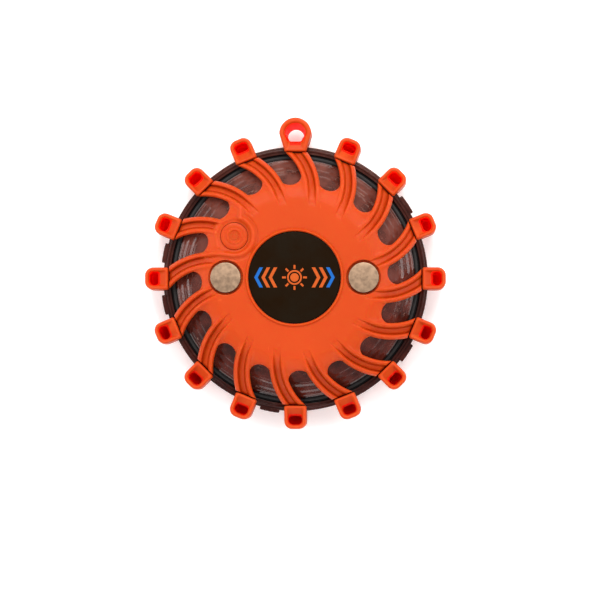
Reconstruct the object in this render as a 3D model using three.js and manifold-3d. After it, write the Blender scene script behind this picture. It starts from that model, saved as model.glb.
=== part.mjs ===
// LED safety flare: a round case of two clear halves, clamped between an orange front guard with
// sixteen bumpers and an orange rear guard with sixteen swept arms. Two magnets on the rear face
// hold it to steel and charge it. Millimetres, +Z up. The flare lies on its front guard ring with
// its magnets up, and its hanging eye points along +Y.

import * as THREE from 'three';
import { mergeVertices } from 'three/addons/utils/BufferGeometryUtils.js';
import Module from 'manifold-3d';

const wasm = await Module();
wasm.setup();

// ---- Driving dimensions ----

// Overall
const HEIGHT = 36; // standing height, from the front ring to the magnet faces
const RIM_DIAMETER = 112; // clear flange where the two halves of the case meet
const RIM_HEIGHT = 18; // parting plane of the case above the front ring
const ARM_COUNT = 16;

// Gaps
const TOUCH_GAP = 0.3; // between pieces that rest on each other
const SLIDE_GAP = 0.3; // round a piece that moves

// Rear face
const LABEL_DIAMETER = 38.2;
const LABEL_LIP_WIDTH = 1.0;
const LABEL_THICKNESS = 2.4;
const MAGNET_DIAMETER = 12.6;
const MAGNET_THICKNESS = 4;
const MAGNET_PROUD = 0.8; // magnet faces above the rear guard's flat
const MAGNET_WELL_GAP = 0.95; // from the magnet's side to the guard's hole
const MAGNET_LABEL_BRIDGE = 1.25; // guard left between the label lip and a magnet well
const MAGNET_EDGE_BRIDGE = 3.0; // guard left between a magnet well and the arm windows
const KEEPER_THICKNESS = 1.2;

// Rear guard
const GUARD_THICKNESS = 2.4;
const GUARD_FLAT_INSET = 5.2; // from the windows' inner ends to the edge of the flat
const ARM_WIDTH = 6.9;
const ARM_SWEEP_ANGLE = THREE.MathUtils.degToRad(20.9);
const ARM_END_OFFSET = 0.42; // arm's centreline at the seam, clockwise of its bumper's middle
const ARM_STRAIGHT_INSET = 3.6; // straight root of an arm, inside the windows' inner ends
const WINDOW_SHOULDER = 3.8; // height of a window's rounded inner end
const WINDOW_ROUNDING = 3.6; // reach of the curve that rounds it
const RIB_WIDTH = 2.1;
const RIB_HEIGHT = 1.4;
const SEAM_GAP = 0.35; // arm end to bumper

// Front guard
const BUMPER_HEIGHT = 19;
const BUMPER_WIDTH = 9.4;
const BUMPER_OVERHANG = 7.5; // past the case's rim
const BUMPER_HOOK = 2.4; // reach of a bumper inwards over the rim
const BUMPER_CORNER = 2.2;
const BUMPER_WALL = 1.5;
const POCKET_WIDTH = 6.2;
const POCKET_FLOOR = 3.5;
const POCKET_SILL_DROP = 2.8;
const FRONT_RING_WIDTH = 7;
const FRONT_RING_THICKNESS = 2.7;
const FRONT_ARM_WIDTH = 6.2;
const EYE_RADIUS = 6.8;
const EYE_HOLE_RADIUS = 4.25;
const EYE_HOLE_FLAT = 3.2; // from the hole's centre down to its flat side
const EYE_CENTRE_OUT = 5.2; // hole's centre past the case's rim

// Case
const CASE_WALL = 2;
const FLANGE_THICKNESS = 3;
const FLANGE_WIDTH = 5.5;
const SHOULDER_RISE = 2.85; // rear dome's edge above the flange
const REAR_FLAT_MARGIN = 1.05; // rear dome's flat past the rear guard's flat
const LENS_FACE_RADIUS = 36;
const GASKET_WIDTH = 1.4;
const GASKET_DEPTH = 1.1;
const GASKET_INSET = 4.7; // gasket's middle in from the rim
const LUG_REACH = 1.2;
const LUG_ANGLE = THREE.MathUtils.degToRad(8.5);
const LUG_SLOTS = [1, 7, 8, 11, 14]; // gaps between bumpers that hold a closing lug

// Power button
const BUTTON_DIAMETER = 11.2;
const BUTTON_TRAVEL = 0.6;
const BUTTON_SUNK = 0.3; // button's top below the guard's flat
const BUTTON_INSET = 8.5; // button's centre in from the windows' inner ends
const BUTTON_ANGLE = THREE.MathUtils.degToRad(145.6);
const BUTTON_MARK_RADIUS = 2.7;
const BUTTON_MARK_HEIGHT = 0.25;
const BUTTON_RIDGE_GAP = 1.5; // from the button's well to the ridge round it
const BUTTON_RIDGE_WIDTH = 1.4;
const BUTTON_RIDGE_HEIGHT = 0.5;
const STEM_RADIUS = 1.8;
const SEAL_WALL = 1.3;
const SWITCH_SIDE = 4.8;
const SWITCH_HEIGHT = 3.4;
const PLUNGER_RADIUS = 1.3;
const PLUNGER_LENGTH = 3;
const PLUNGER_PROUD = 1.4;

// Board and what it carries
const BOARD_STANDOFF = 6.5; // from the lens face's inside to the board
const BOARD_THICKNESS = 1.6;
const BOARD_EDGE_GAP = 0.7;
const LED_RADIUS = 1.5;
const LED_LENGTH = 4;
const LED_EDGE_INSET = 0.4;
const FRONT_LED_COUNT = 8;
const FRONT_LED_RING_RADIUS = 25;
const REFLECTOR_THICKNESS = 0.9;
const REFLECTOR_LIP = 3.4; // dish height
const REFLECTOR_REACH = 4.2; // dish past the front LEDs' ring
const CHIP_SIDE = 5;
const CHIP_THICKNESS = 1;
const INDUCTOR_RADIUS = 2.6;
const INDUCTOR_HEIGHT = 2.4;

// Battery
const CELL_LENGTH = 40;
const CELL_WIDTH = 30;
const CELL_THICKNESS = 8;
const CRADLE_WALL = 1;
const CRADLE_FLOOR = 1.2;
const CRADLE_DEPTH = 4;
const TAB_WIDTH = 4;
const TAB_THICKNESS = 0.3;
const TAB_FOOT = 2.4;
const TAB_SPACING = 12;
const FOAM_MARGIN = 3;

// Fasteners and posts
const CASE_SCREW_RADIUS = 1.25;
const CASE_SCREW_HEAD_RADIUS = 2.4;
const CASE_SCREW_HEAD_HEIGHT = 2;
const CASE_SCREW_LENGTH = 10;
const CASE_POST_X = 10;
const POST_WALL = 1.5;
const POST_RISE = 1; // front posts above the board
const POST_SEAT = 3; // rear post's floor under the screw head
const BOARD_SCREW_RADIUS = 1;
const BOARD_SCREW_HEAD_RADIUS = 1.8;
const BOARD_SCREW_HEAD_HEIGHT = 1.3;
const BOARD_SCREW_LENGTH = 5.5;
const BOARD_SCREW_ANGLES = [80, 215, 325].map(THREE.MathUtils.degToRad);
const CONTACT_PIN_RADIUS = 1;

// ---- Derived places ----

const pitch = (2 * Math.PI) / ARM_COUNT;
const eyeSlot = ARM_COUNT / 4;
const ringSteps = 3 * ARM_COUNT;

// Radii, from the middle outwards
const labelRadius = LABEL_DIAMETER / 2;
const labelWellRadius = labelRadius + TOUCH_GAP;
const labelLipRadius = labelWellRadius + LABEL_LIP_WIDTH;
const magnetRadius = MAGNET_DIAMETER / 2;
const magnetWellRadius = magnetRadius + MAGNET_WELL_GAP;
const magnetX = labelLipRadius + MAGNET_LABEL_BRIDGE + magnetWellRadius;
const windowRadius = magnetX + magnetWellRadius + MAGNET_EDGE_BRIDGE;
const guardFlatRadius = windowRadius - GUARD_FLAT_INSET;
const rearFlatRadius = guardFlatRadius + REAR_FLAT_MARGIN;
const armBendStart = windowRadius - ARM_STRAIGHT_INSET;
const rimRadius = RIM_DIAMETER / 2;
const shoulderRadius = rimRadius - FLANGE_WIDTH;
const gasketRadius = rimRadius - GASKET_INSET;
const seamRadius = rimRadius - BUMPER_HOOK;
const bumperRadius = rimRadius + BUMPER_OVERHANG;
const eyeCentreRadius = rimRadius + EYE_CENTRE_OUT;
const eyeTipRadius = eyeCentreRadius + EYE_RADIUS;

// Arm centreline: straight, then one arc that ends at the seam
const armRise = (seamRadius - armBendStart) * Math.tan(ARM_SWEEP_ANGLE);
const armRootY = -armRise - ARM_END_OFFSET;
const armBendRadius = ((seamRadius - armBendStart) ** 2 + armRise ** 2) / (2 * armRise);
const armBendY = armRootY + armBendRadius;

// Heights, from the rear face downwards
const guardTop = HEIGHT - MAGNET_PROUD;
const caseTop = guardTop - GUARD_THICKNESS - TOUCH_GAP;
const caseCeiling = caseTop - CASE_WALL;
const magnetBottom = HEIGHT - MAGNET_THICKNESS;
const channelSlopeStart = windowRadius - GUARD_FLAT_INSET / 6;
const channelSlopeTop = guardTop - GUARD_THICKNESS;
const keeperTop = magnetBottom - TOUCH_GAP;
const keeperBottom = keeperTop - KEEPER_THICKNESS;
const magnetCupFloor = keeperBottom - TOUCH_GAP;

// Heights at the rim
const rearFlangeTop = RIM_HEIGHT + TOUCH_GAP / 2 + FLANGE_THICKNESS;
const rearFlangeBottom = RIM_HEIGHT + TOUCH_GAP / 2;
const frontFlangeTop = RIM_HEIGHT - TOUCH_GAP / 2;
const frontFlangeBottom = frontFlangeTop - FLANGE_THICKNESS;
const shoulderTop = rearFlangeTop + SHOULDER_RISE;
const bumperTop = RIM_HEIGHT + BUMPER_HEIGHT / 2;
const bumperBottom = RIM_HEIGHT - BUMPER_HEIGHT / 2;

// Heights, from the front ring upwards
const lensFace = FRONT_RING_THICKNESS + TOUCH_GAP;
const lensFloor = lensFace + CASE_WALL;
const boardBottom = lensFloor + BOARD_STANDOFF;
const boardTop = boardBottom + BOARD_THICKNESS;
const seatOnBoard = boardTop + TOUCH_GAP;
const cellBottom = seatOnBoard + CRADLE_FLOOR + TOUCH_GAP;
const cellTop = cellBottom + CELL_THICKNESS;
const frontPostTop = boardTop + POST_RISE;
const rearPostBottom = frontPostTop + TOUCH_GAP;

// Board edge, just inside the sloping wall of the lens at the board's height
const lensSlope = (frontFlangeBottom - lensFace) / (shoulderRadius - LENS_FACE_RADIUS);
const lensWallAcross = (CASE_WALL * Math.hypot(1, lensSlope)) / lensSlope;
const lensOuterAtBoard = LENS_FACE_RADIUS + (boardBottom - lensFace) / lensSlope;
const boardRadius = Math.min(
  lensOuterAtBoard - lensWallAcross - BOARD_EDGE_GAP,
  shoulderRadius - CASE_WALL - BOARD_EDGE_GAP,
);
const ledRingRadius = boardRadius - LED_EDGE_INSET - LED_LENGTH;

// Posts and button
const casePostY = CELL_WIDTH / 2 + CRADLE_WALL + 3 * TOUCH_GAP
  + CASE_SCREW_HEAD_RADIUS + TOUCH_GAP + POST_WALL;
const casePosts = [[1, 1], [-1, 1], [-1, -1], [1, -1]].map(
  ([sx, sy]) => new THREE.Vector2(sx * CASE_POST_X, sy * casePostY),
);
const frontPostRadius = CASE_SCREW_RADIUS + TOUCH_GAP + POST_WALL;
const boardPostRadius = BOARD_SCREW_RADIUS + TOUCH_GAP + POST_WALL;
const boardScrewRadius = ledRingRadius - BOARD_SCREW_HEAD_RADIUS - 2 * TOUCH_GAP;
const boardPosts = BOARD_SCREW_ANGLES.map((angle) => polar(boardScrewRadius, angle));
const buttonAt = polar(windowRadius - BUTTON_INSET, BUTTON_ANGLE);
const buttonWellRadius = BUTTON_DIAMETER / 2 + SLIDE_GAP;
const buttonTop = guardTop - BUTTON_SUNK;
const buttonUnderside = caseTop + TOUCH_GAP + BUTTON_TRAVEL;
const sealHoleRadius = STEM_RADIUS + SLIDE_GAP + SEAL_WALL + TOUCH_GAP;
const switchTop = seatOnBoard + SWITCH_HEIGHT;
const plungerTop = switchTop + PLUNGER_PROUD;
const magnetSpots = { left: -magnetX, right: magnetX };

// ---- Shape helpers ----

const CURVE_STEPS = 4; // along an arm's bend or a window's inner end
const ROUND_STEPS = 3; // along half an arc of the eye, its hole or the button's ridge
const SMALL_ROUND_STEPS = 12; // round a screw, pin or post
const MID_ROUND_STEPS = 24; // round a magnet or button
const OVERCUT = 1;

function polar(radius, angle) {
  return new THREE.Vector2(radius * Math.cos(angle), radius * Math.sin(angle));
}

// A closed geometry as a manifold solid.
function solid(geometry) {
  const bare = geometry.index ? geometry.toNonIndexed() : geometry.clone();
  bare.deleteAttribute('normal');
  bare.deleteAttribute('uv');
  const merged = mergeVertices(bare);
  const corners = merged.index.array;
  const triVerts = [];
  for (let i = 0; i < corners.length; i += 3) {
    const [a, b, c] = corners.slice(i, i + 3);
    if (a !== b && b !== c && c !== a) triVerts.push(a, b, c);
  }
  return new wasm.Manifold(new wasm.Mesh({
    numProp: 3,
    vertProperties: new Float32Array(merged.attributes.position.array),
    triVerts: new Uint32Array(triVerts),
  }));
}

// A manifold solid as a geometry.
function geometryOf(manifold) {
  const mesh = manifold.getMesh();
  const geometry = new THREE.BufferGeometry();
  geometry.setAttribute('position', new THREE.BufferAttribute(mesh.vertProperties, 3));
  geometry.setIndex(new THREE.BufferAttribute(mesh.triVerts, 1));
  geometry.computeVertexNormals();
  return geometry;
}

// A profile of [radius, height] pairs, counter-clockwise, turned about Z.
function turned(profile, steps = ringSteps) {
  const points = profile.map(([radius, height]) => new THREE.Vector2(radius, height));
  return solid(new THREE.LatheGeometry(points, steps).rotateX(Math.PI / 2));
}

// A turned ring of rectangular section.
function ring(inner, outer, low, high, steps = ringSteps) {
  return turned([[inner, low], [outer, low], [outer, high], [inner, high], [inner, low]], steps);
}

// A turned disc or rod.
function disc(radius, low, high, steps = ringSteps) {
  return turned([[0, low], [radius, low], [radius, high], [0, high]], steps);
}

// A flat shape carried up from one height to another.
function prism(shape, low, high, curveSegments = 1) {
  const geometry = new THREE.ExtrudeGeometry(shape, {
    depth: high - low,
    bevelEnabled: false,
    curveSegments,
  });
  return solid(geometry.translate(0, 0, low));
}

function block(sizeX, sizeY, low, high) {
  return solid(new THREE.BoxGeometry(sizeX, sizeY, high - low).translate(0, 0, (low + high) / 2));
}

function moved(manifold, spot) {
  return manifold.translate([spot.x, spot.y, 0]);
}

function turnedBy(manifold, angle) {
  return manifold.rotate([0, 0, THREE.MathUtils.radToDeg(angle)]);
}

function union(solids) {
  return solids.reduce((whole, next) => whole.add(next));
}

function cut(base, tools) {
  return tools.reduce((left, tool) => left.subtract(tool), base);
}

// Copies of a solid at arm slots, turned about Z.
function atSlots(manifold, slots) {
  return slots.map((slot) => turnedBy(manifold, slot * pitch));
}

const allSlots = [...Array(ARM_COUNT).keys()];

// ---- Arms in plan, in the frame of a bumper that points along +X ----

// Angle on an arm's bend where a line offset to its left is at a given x.
function bendAngleAtX(offset, x) {
  return Math.asin((x - armBendStart) / (armBendRadius - offset));
}

// Angle on an arm's bend where a line offset to its left is at a given radius from the middle.
function bendAngleAtRadius(offset, radius) {
  const bend = armBendRadius - offset;
  const reach = Math.hypot(armBendStart, armBendY);
  const lift = (radius ** 2 - reach ** 2 - bend ** 2) / (2 * bend);
  return Math.atan2(armBendY, armBendStart) + Math.asin(lift / reach);
}

function bendPoint(offset, angle) {
  const bend = armBendRadius - offset;
  return new THREE.Vector2(
    armBendStart + bend * Math.sin(angle),
    armBendY - bend * Math.cos(angle),
  );
}

// Points along an arm's bend, from one angle to another.
function bendPoints(offset, from, to) {
  return Array.from({ length: CURVE_STEPS + 1 }, (_, i) => (
    bendPoint(offset, THREE.MathUtils.lerp(from, to, i / CURVE_STEPS))
  ));
}

// A strip along an arm between two offsets, from a straight start out to a given x.
function armStrip(rightOffset, leftOffset, startX, endX) {
  const right = bendPoints(rightOffset, 0, bendAngleAtX(rightOffset, endX));
  const left = bendPoints(leftOffset, bendAngleAtX(leftOffset, endX), 0);
  return new THREE.Shape([
    new THREE.Vector2(startX, armRootY + rightOffset),
    ...right,
    ...left,
    new THREE.Vector2(startX, armRootY + leftOffset),
  ]);
}

// Rear guard in plan: every arm's edges, joined by the rounded inner ends of the windows.
function rearGuardOutline() {
  const half = ARM_WIDTH / 2;
  const shoulder = windowRadius + WINDOW_SHOULDER;
  const endX = seamRadius - SEAM_GAP;
  const rightStart = bendAngleAtRadius(-half, shoulder);
  const leftStart = bendAngleAtRadius(half, shoulder);
  const right = bendPoints(-half, rightStart, bendAngleAtX(-half, endX));
  const left = bendPoints(half, bendAngleAtX(half, endX), leftStart);
  const middle = new THREE.Vector2();
  const from = left[CURVE_STEPS];
  const fromHandle = polar(WINDOW_ROUNDING, leftStart).multiplyScalar(-1).add(from);
  const to = right[0].clone().rotateAround(middle, pitch);
  const toHandle = polar(WINDOW_ROUNDING, rightStart + pitch).multiplyScalar(-1).add(to);
  const window = new THREE.CubicBezierCurve(from, fromHandle, toHandle, to);
  const oneArm = [...right, ...left, ...window.getPoints(CURVE_STEPS).slice(1, -1)];
  return new THREE.Shape(allSlots.flatMap((slot) => (
    oneArm.map((point) => point.clone().rotateAround(middle, slot * pitch))
  )));
}

// ---- Guards ----

// Everything that the closed case takes up, with a gap round it.
function caseEnvelope() {
  return turned([
    [0, lensFace - TOUCH_GAP],
    [LENS_FACE_RADIUS + TOUCH_GAP, lensFace - TOUCH_GAP],
    [shoulderRadius + TOUCH_GAP, frontFlangeBottom - TOUCH_GAP],
    [rimRadius + TOUCH_GAP, frontFlangeBottom - TOUCH_GAP],
    [rimRadius + TOUCH_GAP, rearFlangeTop + TOUCH_GAP],
    [shoulderRadius + TOUCH_GAP, rearFlangeTop + TOUCH_GAP],
    [shoulderRadius + TOUCH_GAP, shoulderTop + TOUCH_GAP],
    [rearFlatRadius + TOUCH_GAP, caseTop + TOUCH_GAP],
    [0, caseTop + TOUCH_GAP],
  ]);
}

// The channel between an arm's two ribs, down to a cone that meets the flat at its edge.
function ribChannels() {
  const half = ARM_WIDTH / 2 - RIB_WIDTH;
  const strip = armStrip(-half, half, guardFlatRadius - RIB_WIDTH, rimRadius);
  const slope = (guardTop - channelSlopeTop) / (channelSlopeStart - guardFlatRadius);
  const start = guardFlatRadius - 2 * RIB_WIDTH;
  const below = turned([
    [0, 0],
    [rimRadius + OVERCUT, 0],
    [rimRadius + OVERCUT, bumperTop - RIB_HEIGHT],
    [seamRadius, bumperTop - RIB_HEIGHT],
    [channelSlopeStart, channelSlopeTop],
    [start, guardTop + 2 * RIB_WIDTH * slope],
    [0, guardTop + 2 * RIB_WIDTH * slope],
  ]);
  return atSlots(prism(strip, RIM_HEIGHT, HEIGHT), allSlots).map((way) => way.subtract(below));
}

// Curved ridge on the web beside the button, open towards the windows.
function buttonRidge() {
  const inner = buttonWellRadius + BUTTON_RIDGE_GAP;
  const start = BUTTON_ANGLE + 0.6 * Math.PI;
  const end = BUTTON_ANGLE + 1.4 * Math.PI;
  const arc = new THREE.Shape();
  arc.absarc(0, 0, inner + BUTTON_RIDGE_WIDTH, start, end, false);
  arc.absarc(0, 0, inner, end, start, true);
  const ridgeTop = guardTop + BUTTON_RIDGE_HEIGHT;
  return moved(prism(arc, guardTop - GUARD_THICKNESS / 2, ridgeTop, 2 * ROUND_STEPS), buttonAt);
}

function rearGuard() {
  const outline = prism(rearGuardOutline(), rearFlangeTop, guardTop + OVERCUT);
  const web = turned([
    [0, 0],
    [rimRadius, 0],
    [rimRadius, bumperTop],
    [seamRadius, bumperTop],
    [channelSlopeStart, channelSlopeTop + RIB_HEIGHT],
    [guardFlatRadius, guardTop],
    [0, guardTop],
  ]).intersect(outline);
  const lip = disc(labelLipRadius, guardTop - GUARD_THICKNESS, HEIGHT);
  const well = disc(magnetWellRadius, 0, HEIGHT + OVERCUT, MID_ROUND_STEPS);
  const raised = cut(web, ribChannels()).add(lip).add(buttonRidge());
  return cut(raised, [
    caseEnvelope(),
    disc(labelWellRadius, 0, HEIGHT + OVERCUT),
    moved(disc(buttonWellRadius, 0, HEIGHT + OVERCUT, MID_ROUND_STEPS), buttonAt),
    ...Object.values(magnetSpots).map((x) => well.translate([x, 0, 0])),
  ]);
}

// A bumper that hooks over the rim, before the case and its pocket are cut from it.
function bumperPlan() {
  const half = BUMPER_WIDTH / 2;
  const round = BUMPER_CORNER;
  const shape = new THREE.Shape();
  shape.moveTo(seamRadius, -half);
  shape.lineTo(bumperRadius - round, -half);
  shape.absarc(bumperRadius - round, -half + round, round, -Math.PI / 2, 0, false);
  shape.absarc(bumperRadius - round, half - round, round, 0, Math.PI / 2, false);
  shape.lineTo(seamRadius, half);
  return shape;
}

// A bumper's pocket: a deep slot with a sloping sill on the side of the seam.
function bumperPocket() {
  const inner = rimRadius + TOUCH_GAP + BUMPER_WALL;
  const outer = bumperRadius - BUMPER_WALL;
  const above = bumperTop + OVERCUT;
  const section = new THREE.Shape([
    new THREE.Vector2(seamRadius + BUMPER_WALL / 2, above),
    new THREE.Vector2(seamRadius + BUMPER_WALL / 2, bumperTop),
    new THREE.Vector2(inner, bumperTop - POCKET_SILL_DROP),
    new THREE.Vector2(inner, bumperBottom + POCKET_FLOOR),
    new THREE.Vector2(outer, bumperBottom + POCKET_FLOOR),
    new THREE.Vector2(outer, above),
  ]);
  const upright = prism(section, -POCKET_WIDTH / 2, POCKET_WIDTH / 2);
  return upright.rotate([90, 0, 0]);
}

// The eye in plan: straight sides that widen to a round end.
function eyePlan() {
  const half = BUMPER_WIDTH / 2;
  const shape = new THREE.Shape();
  shape.moveTo(seamRadius, -half);
  shape.lineTo(eyeCentreRadius, -EYE_RADIUS);
  shape.absarc(eyeCentreRadius, 0, EYE_RADIUS, -Math.PI / 2, 0, false);
  shape.absarc(eyeCentreRadius, 0, EYE_RADIUS, 0, Math.PI / 2, false);
  shape.lineTo(seamRadius, half);
  return shape;
}

// The hole in the eye: half round at its outer end and flat at its inner end.
function eyeHolePlan() {
  const flat = eyeCentreRadius - EYE_HOLE_FLAT;
  const shape = new THREE.Shape();
  shape.moveTo(flat, -EYE_HOLE_RADIUS);
  shape.lineTo(eyeCentreRadius, -EYE_HOLE_RADIUS);
  shape.absarc(eyeCentreRadius, 0, EYE_HOLE_RADIUS, -Math.PI / 2, 0, false);
  shape.absarc(eyeCentreRadius, 0, EYE_HOLE_RADIUS, 0, Math.PI / 2, false);
  shape.lineTo(flat, EYE_HOLE_RADIUS);
  return shape;
}

function frontGuard() {
  const half = FRONT_ARM_WIDTH / 2;
  const ringOuter = LENS_FACE_RADIUS - TOUCH_GAP;
  const ringInner = ringOuter - FRONT_RING_WIDTH;
  const strip = armStrip(-half, half, ringOuter - FRONT_RING_WIDTH / 2, seamRadius + BUMPER_HOOK);
  const armBody = turned([
    [ringInner, 0],
    [LENS_FACE_RADIUS, 0],
    [seamRadius, bumperBottom],
    [bumperRadius, bumperBottom],
    [bumperRadius, frontFlangeBottom],
    [ringInner, frontFlangeBottom],
    [ringInner, 0],
  ]);
  const arms = union(atSlots(prism(strip, -OVERCUT, RIM_HEIGHT), allSlots)).intersect(armBody);
  const bumperSlots = allSlots.filter((slot) => slot !== eyeSlot);
  const bumper = prism(bumperPlan(), bumperBottom, bumperTop);
  const eyeSpace = block(2 * EYE_RADIUS, 3 * EYE_RADIUS, 0, HEIGHT)
    .translate([seamRadius - TOUCH_GAP + EYE_RADIUS, 0, 0]);
  const whole = union([
    ring(ringInner, ringOuter, 0, FRONT_RING_THICKNESS),
    arms,
    ...atSlots(bumper, bumperSlots),
  ]);
  return cut(whole, [
    caseEnvelope(),
    ...atSlots(bumperPocket(), bumperSlots),
    ...atSlots(eyeSpace, [eyeSlot]),
  ]);
}

// The hanging eye, in a bumper's place at the end of its own arm.
function hangingEye() {
  const eye = prism(eyePlan(), bumperBottom, bumperTop, ROUND_STEPS);
  const hole = prism(eyeHolePlan(), -OVERCUT, HEIGHT + OVERCUT, ROUND_STEPS);
  return cut(turnedBy(eye.subtract(hole), eyeSlot * pitch), [caseEnvelope()]);
}

// ---- Case ----

function rearShell() {
  const wallAcross = CASE_WALL;
  const dome = turned([
    [shoulderRadius - wallAcross, rearFlangeBottom],
    [rimRadius, rearFlangeBottom],
    [rimRadius, rearFlangeTop],
    [shoulderRadius, rearFlangeTop],
    [shoulderRadius, shoulderTop],
    [rearFlatRadius, caseTop],
    [0, caseTop],
    [0, caseCeiling],
    [rearFlatRadius - wallAcross / 2, caseCeiling],
    [shoulderRadius - wallAcross, shoulderTop - wallAcross / 2],
    [shoulderRadius - wallAcross, rearFlangeBottom],
  ]);
  const lugSection = new THREE.Shape();
  const lugInner = rimRadius + TOUCH_GAP;
  const lugOuter = rimRadius + LUG_REACH;
  lugSection.absarc(0, 0, lugOuter, -LUG_ANGLE / 2, LUG_ANGLE / 2, false);
  lugSection.absarc(0, 0, lugInner, LUG_ANGLE / 2, -LUG_ANGLE / 2, true);
  const lugRoot = new THREE.Shape();
  lugRoot.absarc(0, 0, lugOuter, -LUG_ANGLE / 2, LUG_ANGLE / 2, false);
  lugRoot.absarc(0, 0, rimRadius - LUG_REACH, LUG_ANGLE / 2, -LUG_ANGLE / 2, true);
  const lug = prism(lugSection, frontFlangeBottom, rearFlangeTop)
    .add(prism(lugRoot, rearFlangeBottom, rearFlangeTop));
  const lugs = LUG_SLOTS.map((slot) => turnedBy(lug, (slot + 0.5) * pitch));
  const cupRadius = magnetRadius + TOUCH_GAP;
  const cupBottom = magnetCupFloor - CASE_WALL;
  const boss = disc(cupRadius + CASE_WALL, cupBottom, caseTop, MID_ROUND_STEPS);
  const cup = disc(cupRadius, magnetCupFloor, HEIGHT, MID_ROUND_STEPS).add(
    disc(CONTACT_PIN_RADIUS + TOUCH_GAP, 0, HEIGHT, SMALL_ROUND_STEPS),
  );
  const counterbore = CASE_SCREW_HEAD_RADIUS + TOUCH_GAP;
  const post = disc(counterbore + POST_WALL, rearPostBottom, caseTop, SMALL_ROUND_STEPS);
  const screwWay = disc(counterbore, rearPostBottom + POST_SEAT, HEIGHT, SMALL_ROUND_STEPS).add(
    disc(CASE_SCREW_RADIUS + TOUCH_GAP, 0, HEIGHT, SMALL_ROUND_STEPS),
  );
  const withinWall = turned([
    [0, 0],
    [shoulderRadius - wallAcross / 2, 0],
    [shoulderRadius - wallAcross / 2, shoulderTop - wallAcross / 4],
    [rearFlatRadius - wallAcross / 4, caseTop - wallAcross / 2],
    [0, caseTop - wallAcross / 2],
  ]);
  const inside = union([
    ...Object.values(magnetSpots).map((x) => boss.translate([x, 0, 0])),
    ...casePosts.map((spot) => moved(post, spot)),
  ]).intersect(withinWall);
  return cut(union([dome, inside, ...lugs]), [
    ...Object.values(magnetSpots).map((x) => cup.translate([x, 0, 0])),
    ...casePosts.map((spot) => moved(screwWay, spot)),
    moved(disc(sealHoleRadius, 0, HEIGHT, SMALL_ROUND_STEPS), buttonAt),
  ]);
}

function frontLens() {
  const shell = turned([
    [0, lensFace],
    [LENS_FACE_RADIUS, lensFace],
    [shoulderRadius, frontFlangeBottom],
    [rimRadius, frontFlangeBottom],
    [rimRadius, frontFlangeTop],
    [shoulderRadius - CASE_WALL, frontFlangeTop],
    [shoulderRadius - CASE_WALL, frontFlangeBottom],
    [LENS_FACE_RADIUS + (lensFloor - lensFace) / lensSlope - lensWallAcross, lensFloor],
    [0, lensFloor],
  ]);
  const caseStud = disc(frontPostRadius, lensFloor - TOUCH_GAP, frontPostTop, SMALL_ROUND_STEPS);
  const boardStud = disc(
    boardPostRadius, lensFloor - TOUCH_GAP, boardBottom - TOUCH_GAP, SMALL_ROUND_STEPS);
  const screwTip = rearPostBottom + POST_SEAT + TOUCH_GAP - CASE_SCREW_LENGTH;
  const caseHole = disc(
    CASE_SCREW_RADIUS + TOUCH_GAP, screwTip - TOUCH_GAP, HEIGHT, SMALL_ROUND_STEPS);
  const boardTip = seatOnBoard - BOARD_SCREW_LENGTH;
  const boardHole = disc(
    BOARD_SCREW_RADIUS + TOUCH_GAP, boardTip - TOUCH_GAP, HEIGHT, SMALL_ROUND_STEPS);
  const groove = GASKET_WIDTH / 2 + TOUCH_GAP;
  const halfWall = CASE_WALL / 2;
  const withinWall = turned([
    [0, lensFace + halfWall],
    [LENS_FACE_RADIUS + halfWall / lensSlope - lensWallAcross / 2, lensFace + halfWall],
    [shoulderRadius - halfWall, frontFlangeBottom],
    [shoulderRadius - halfWall, HEIGHT],
    [0, HEIGHT],
  ]);
  const studs = union([
    ...casePosts.map((spot) => moved(caseStud, spot)),
    ...boardPosts.map((spot) => moved(boardStud, spot)),
  ]).intersect(withinWall);
  return cut(shell.add(studs), [
    ...casePosts.map((spot) => moved(caseHole, spot)),
    ...boardPosts.map((spot) => moved(boardHole, spot)),
    ring(gasketRadius - groove, gasketRadius + groove,
      frontFlangeTop - GASKET_DEPTH - TOUCH_GAP, HEIGHT),
  ]);
}

function rimGasket() {
  const half = GASKET_WIDTH / 2;
  return ring(gasketRadius - half, gasketRadius + half,
    frontFlangeTop - GASKET_DEPTH, frontFlangeTop);
}

// ---- Rear face ----

function labelDisc() {
  const edge = LABEL_LIP_WIDTH / 4;
  const low = caseTop + TOUCH_GAP;
  const high = low + LABEL_THICKNESS;
  return turned([
    [0, low], [labelRadius, low], [labelRadius, high - edge], [labelRadius - edge, high], [0, high],
  ]);
}

function magnet() {
  const edge = TOUCH_GAP;
  return turned([
    [0, magnetBottom],
    [magnetRadius, magnetBottom],
    [magnetRadius, HEIGHT - edge],
    [magnetRadius - edge, HEIGHT],
    [0, HEIGHT],
  ], MID_ROUND_STEPS);
}

function keeperPlate() {
  return disc(magnetRadius, keeperBottom, keeperTop, MID_ROUND_STEPS);
}

// A sprung pin: a wide barrel on the board and a thin plunger up to the keeper.
function chargeContact() {
  const barrel = magnetCupFloor - CASE_WALL - 2 * TOUCH_GAP;
  return turned([
    [0, seatOnBoard],
    [2 * CONTACT_PIN_RADIUS, seatOnBoard],
    [2 * CONTACT_PIN_RADIUS, barrel],
    [CONTACT_PIN_RADIUS, barrel],
    [CONTACT_PIN_RADIUS, keeperBottom - TOUCH_GAP],
    [0, keeperBottom - TOUCH_GAP],
  ], SMALL_ROUND_STEPS);
}

// ---- Power button and its switch ----

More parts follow.
